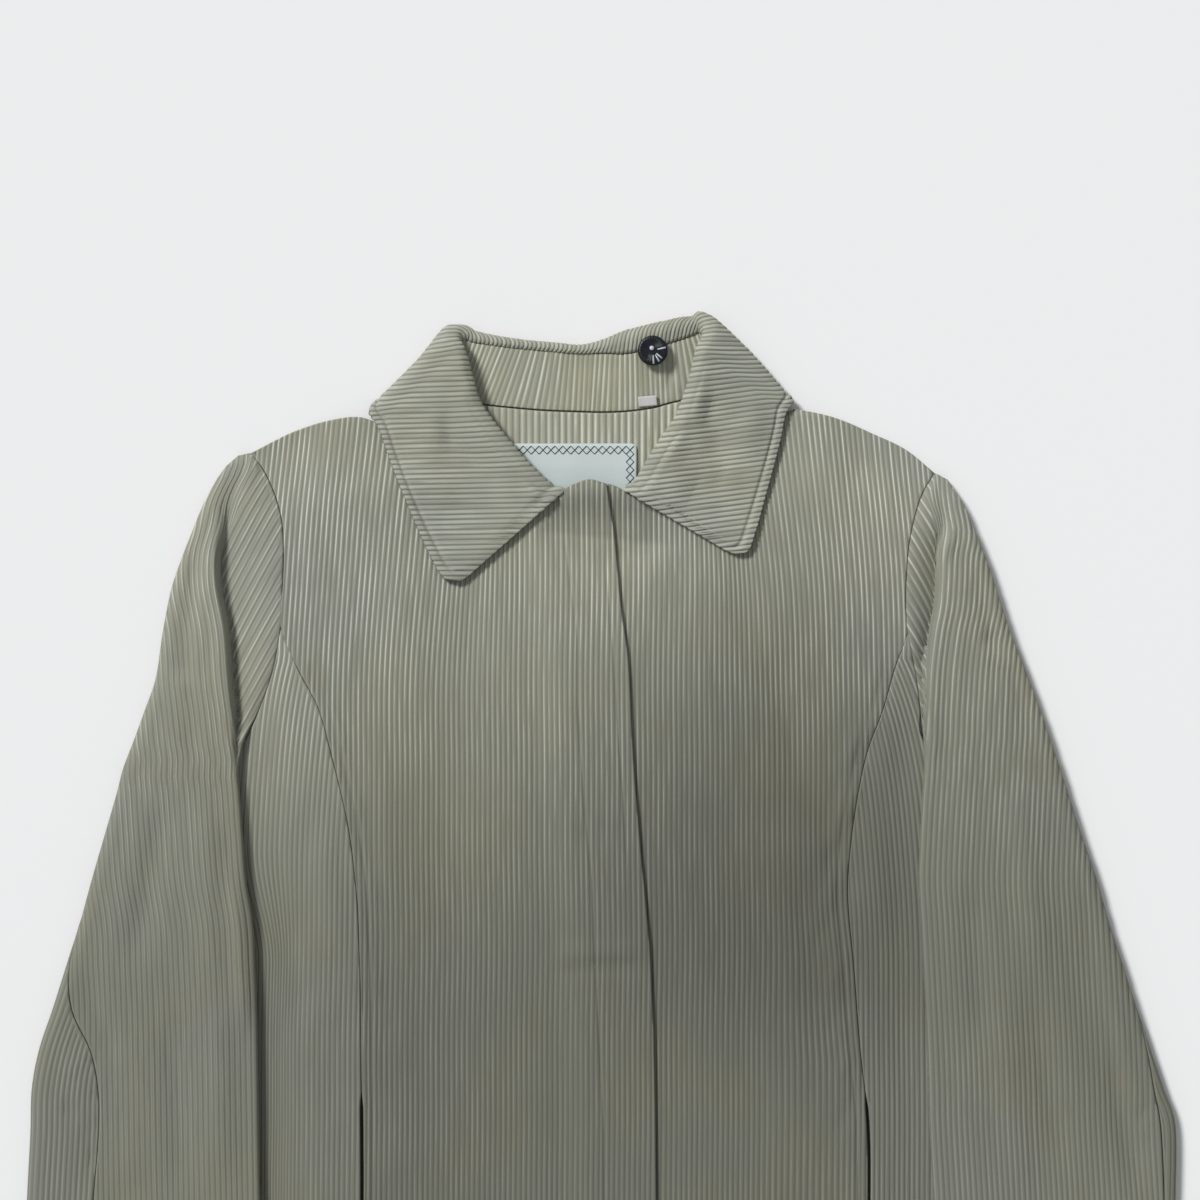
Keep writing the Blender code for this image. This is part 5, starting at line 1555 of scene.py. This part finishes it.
# the tag: a small sheet on the slope of the stand, in one low wave
def makeTag():
    (cx, cd), (w, h), (skewX, skewD) = tagLook["at"], tagLook["size"], tagLook["turned"]

    def surface(x, d):
        slope = tagLook["climb"] / tagLook["run"] * (tagLook["foot"] - d)
        z = tagLook["low"] + tagLook["over"] + slope + tagLook["wave"] * np.sin((x - cx) / 3.0)
        return np.stack([x + skewX * (d - cd), d - skewD * (x - cx), z], -1)

    x0, x1, d0, d1 = cx - w / 2, cx + w / 2, cd - h / 2, cd + h / 2
    a, b = planGrid(stepped(x0, x1, 0.8), stepped(d0, d1, 0.8), level(x0), level(x1), level(d0), level(d1),
                    upright, 0.3)
    clothShell("size_tag", a, b, surface, lambda x, d: 0.1 + 0.0 * x, 0.7, 1.0, (3.0, 3.0), waleMap(3),
               tagFinish.made)


makeTag()
print("neck pieces ready")

# Button: dark, with narrow facets round a small pale stud
buttonLook = {"at": (31.5, -29.0), "radius": 9.0, "rest": 11.3, "facets": 30, "cut": 0.22}


# a ring of quads between each ring of points and the next; ahead is the next point round
def ringQuads(ids, ahead):
    return np.stack([ids[:-1], ids[1:], ahead[1:], ahead[:-1]], -1).reshape(-1, 4)


# a profile of radius and height turned round, its upper rim cut into facets
def makeButton():
    r, n = buttonLook["radius"], buttonLook["facets"] * 4
    profile = np.array(((0.01, 0.0), (2.6, 0.0), (2.6, 1.1), (r - 1.4, 1.3), (r - 0.2, 2.0), (r, 2.7),
                        (r - 0.3, 3.6), (r - 1.0, 4.1), (r - 1.8, 4.25), (r - 3.0, 4.1), (3.4, 3.75),
                        (1.5, 3.7), (0.01, 3.7)))
    angle = np.arange(n) / n * 2 * math.pi
    facet = np.abs(((angle / (2 * math.pi) * buttonLook["facets"]) % 1.0) - 0.5) * 2
    radial, height = profile[:, :1], profile[:, 1:]
    cut = buttonLook["cut"] * facet[None, :] * ((radial > 2) & (height > 3.65) & (radial < r - 0.5))
    x = buttonLook["at"][0] + radial * np.cos(angle)
    d = buttonLook["at"][1] + radial * np.sin(angle)
    points = np.stack([x, d, buttonLook["rest"] + height - cut + 0 * x], -1).reshape(-1, 3)
    ids = np.arange(len(profile) * n).reshape(len(profile), n)
    caps = np.concatenate([np.stack([ids[0, 0] + 0 * ids[0, 1:-1], ids[0, 1:-1], ids[0, 2:]], 1),
                           np.stack([ids[-1, 0] + 0 * ids[-1, 1:-1], ids[-1, 2:], ids[-1, 1:-1]], 1)])
    quads = ringQuads(ids, np.roll(ids, -1, 1))
    thing = meshFrom("button_dark", points, quads, caps, np.zeros((len(points), 2)))
    thing.data.materials.append(gloss.made)
    return thing


gloss, scuff = speckled("black_gloss", 0.3, 260.0, (0.004, 0.005, 0.008, 1), (0.016, 0.018, 0.024, 1), 2.0,
                        Specular_IOR_Level=0.3)
gloss.feed("Roughness", 0.22 + scuff * 0.12)
button = makeButton()
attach(button, "root")
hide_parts("collar_button")
# Its pale stud and the narrow pale strokes at its lower right: angle from the x axis, start and end radius
paleMarkFinish, _ = speckled("pale_button_marks", 0.25, 900.0, (0.42, 0.44, 0.48, 1), (0.62, 0.64, 0.68, 1))
strokes = ((-12, 2.8, 8.0), (41, 2.8, 7.4), (60, 3.0, 7.8), (86, 2.9, 8.1))


# a place on the button's dished face, by its angle and radius
def onButton(angle, radius):
    turn = math.radians(angle)
    cx, cd = buttonLook["at"]
    height = buttonLook["rest"] + 3.72 + 0.045 * radius
    return (cx + radius * math.cos(turn), cd + radius * math.sin(turn), height)


bars("button_strokes", [onButton(angle, low) for angle, low, high in strokes],
     [onButton(angle, high) for angle, low, high in strokes], [(0.55, 1.1)] * len(strokes), 0.3, paleMarkFinish.made)
studLook = {"aside": (-0.6, -1.4), "radius": 1.35, "tall": 0.7, "foot": 3.4, "wall": 0.3, "around": 24,
            "rings": 6}


# stud: a low dome, its height the cosine of a quarter turn over the radius
def makeStud():
    n, rings, radius, tall = (studLook[key] for key in ("around", "rings", "radius", "tall"))
    turn, lift = np.meshgrid(np.arange(n) / n * 2 * math.pi, np.linspace(0, math.pi / 2, rings)[:-1])
    cx, cd = np.add(buttonLook["at"], studLook["aside"])
    base = buttonLook["rest"] + studLook["foot"]
    out, up = radius * np.cos(lift), base + studLook["wall"] + tall * np.sin(lift)
    dome = np.stack([cx + out * np.cos(turn), cd + out * np.sin(turn), up], -1)
    foot = dome[:1] * (1, 1, 0) + (0, 0, base)
    poles = [(cx, cd, base + studLook["wall"] + tall), (cx, cd, base)]
    points = np.vstack([np.concatenate([foot, dome]).reshape(-1, 3), poles])
    ids = np.arange(rings * n).reshape(rings, n)
    ahead = np.roll(ids, -1, 1)
    caps = np.concatenate([np.stack([ids[-1], 0 * ids[-1] + rings * n, ahead[-1]], 1),
                           np.stack([ids[0], ahead[0], 0 * ids[0] + rings * n + 1], 1)])
    stud = meshFrom("button_stud", points, ringQuads(ids, ahead), caps, np.zeros((len(points), 2)))
    stud.data.materials.append(paleMarkFinish.made)
    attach(stud, "root")


makeStud()

# Pale floor, soft light from beyond the collar and a camera straight over the coat
shot = {"height": 1.308, "lens": 65.0, "sensor": 36.0, "downAtCentre": 120.0, "floor": 0.84, "floorHalf": 3.0,
        "floorZ": -0.0004, "sky": 0.36, "skyColour": (0.96, 0.98, 1.0, 1), "key": 3.03,
        "keyFrom": (-0.62, 0.55, 0.75), "keySpread": 15.0}
floorMesh = bpy.data.meshes.new("floor")
half, z = shot["floorHalf"], shot["floorZ"]
corners = [(-half, -half, z), (half, -half, z), (half, half, z), (-half, half, z)]
floorMesh.from_pydata(corners, [], [(0, 1, 2, 3)])
floor = bpy.data.objects.new("floor", floorMesh)
bpy.context.scene.collection.objects.link(floor)
floorFinish = Finish("paper_floor", 0.9)
floorFinish.shader.inputs["Base Color"].default_value = (shot["floor"], shot["floor"], shot["floor"], 1)
floorMesh.materials.append(floorFinish.made)

world = bpy.data.worlds.new("studio")
world.use_nodes = True
sky = world.node_tree.nodes["Background"]
sky.inputs[0].default_value, sky.inputs[1].default_value = shot["skyColour"], shot["sky"]
bpy.context.scene.world = world
lamp = bpy.data.lights.new("softLight", "SUN")
lamp.energy, lamp.angle = shot["key"], math.radians(shot["keySpread"])
lampObject = bpy.data.objects.new("softLight", lamp)
bpy.context.scene.collection.objects.link(lampObject)
lampObject.rotation_euler = Vector(shot["keyFrom"]).to_track_quat("Z", "Y").to_euler()

cameraData = bpy.data.cameras.new("camera")
cameraData.lens, cameraData.sensor_width = shot["lens"], shot["sensor"]
camera = bpy.data.objects.new("camera", cameraData)
bpy.context.scene.collection.objects.link(camera)
camera.location = (0, (coat["centreDown"] - shot["downAtCentre"]) * 0.001, shot["height"])
bpy.context.scene.camera = camera
bpy.context.scene.view_settings.view_transform = "Standard"
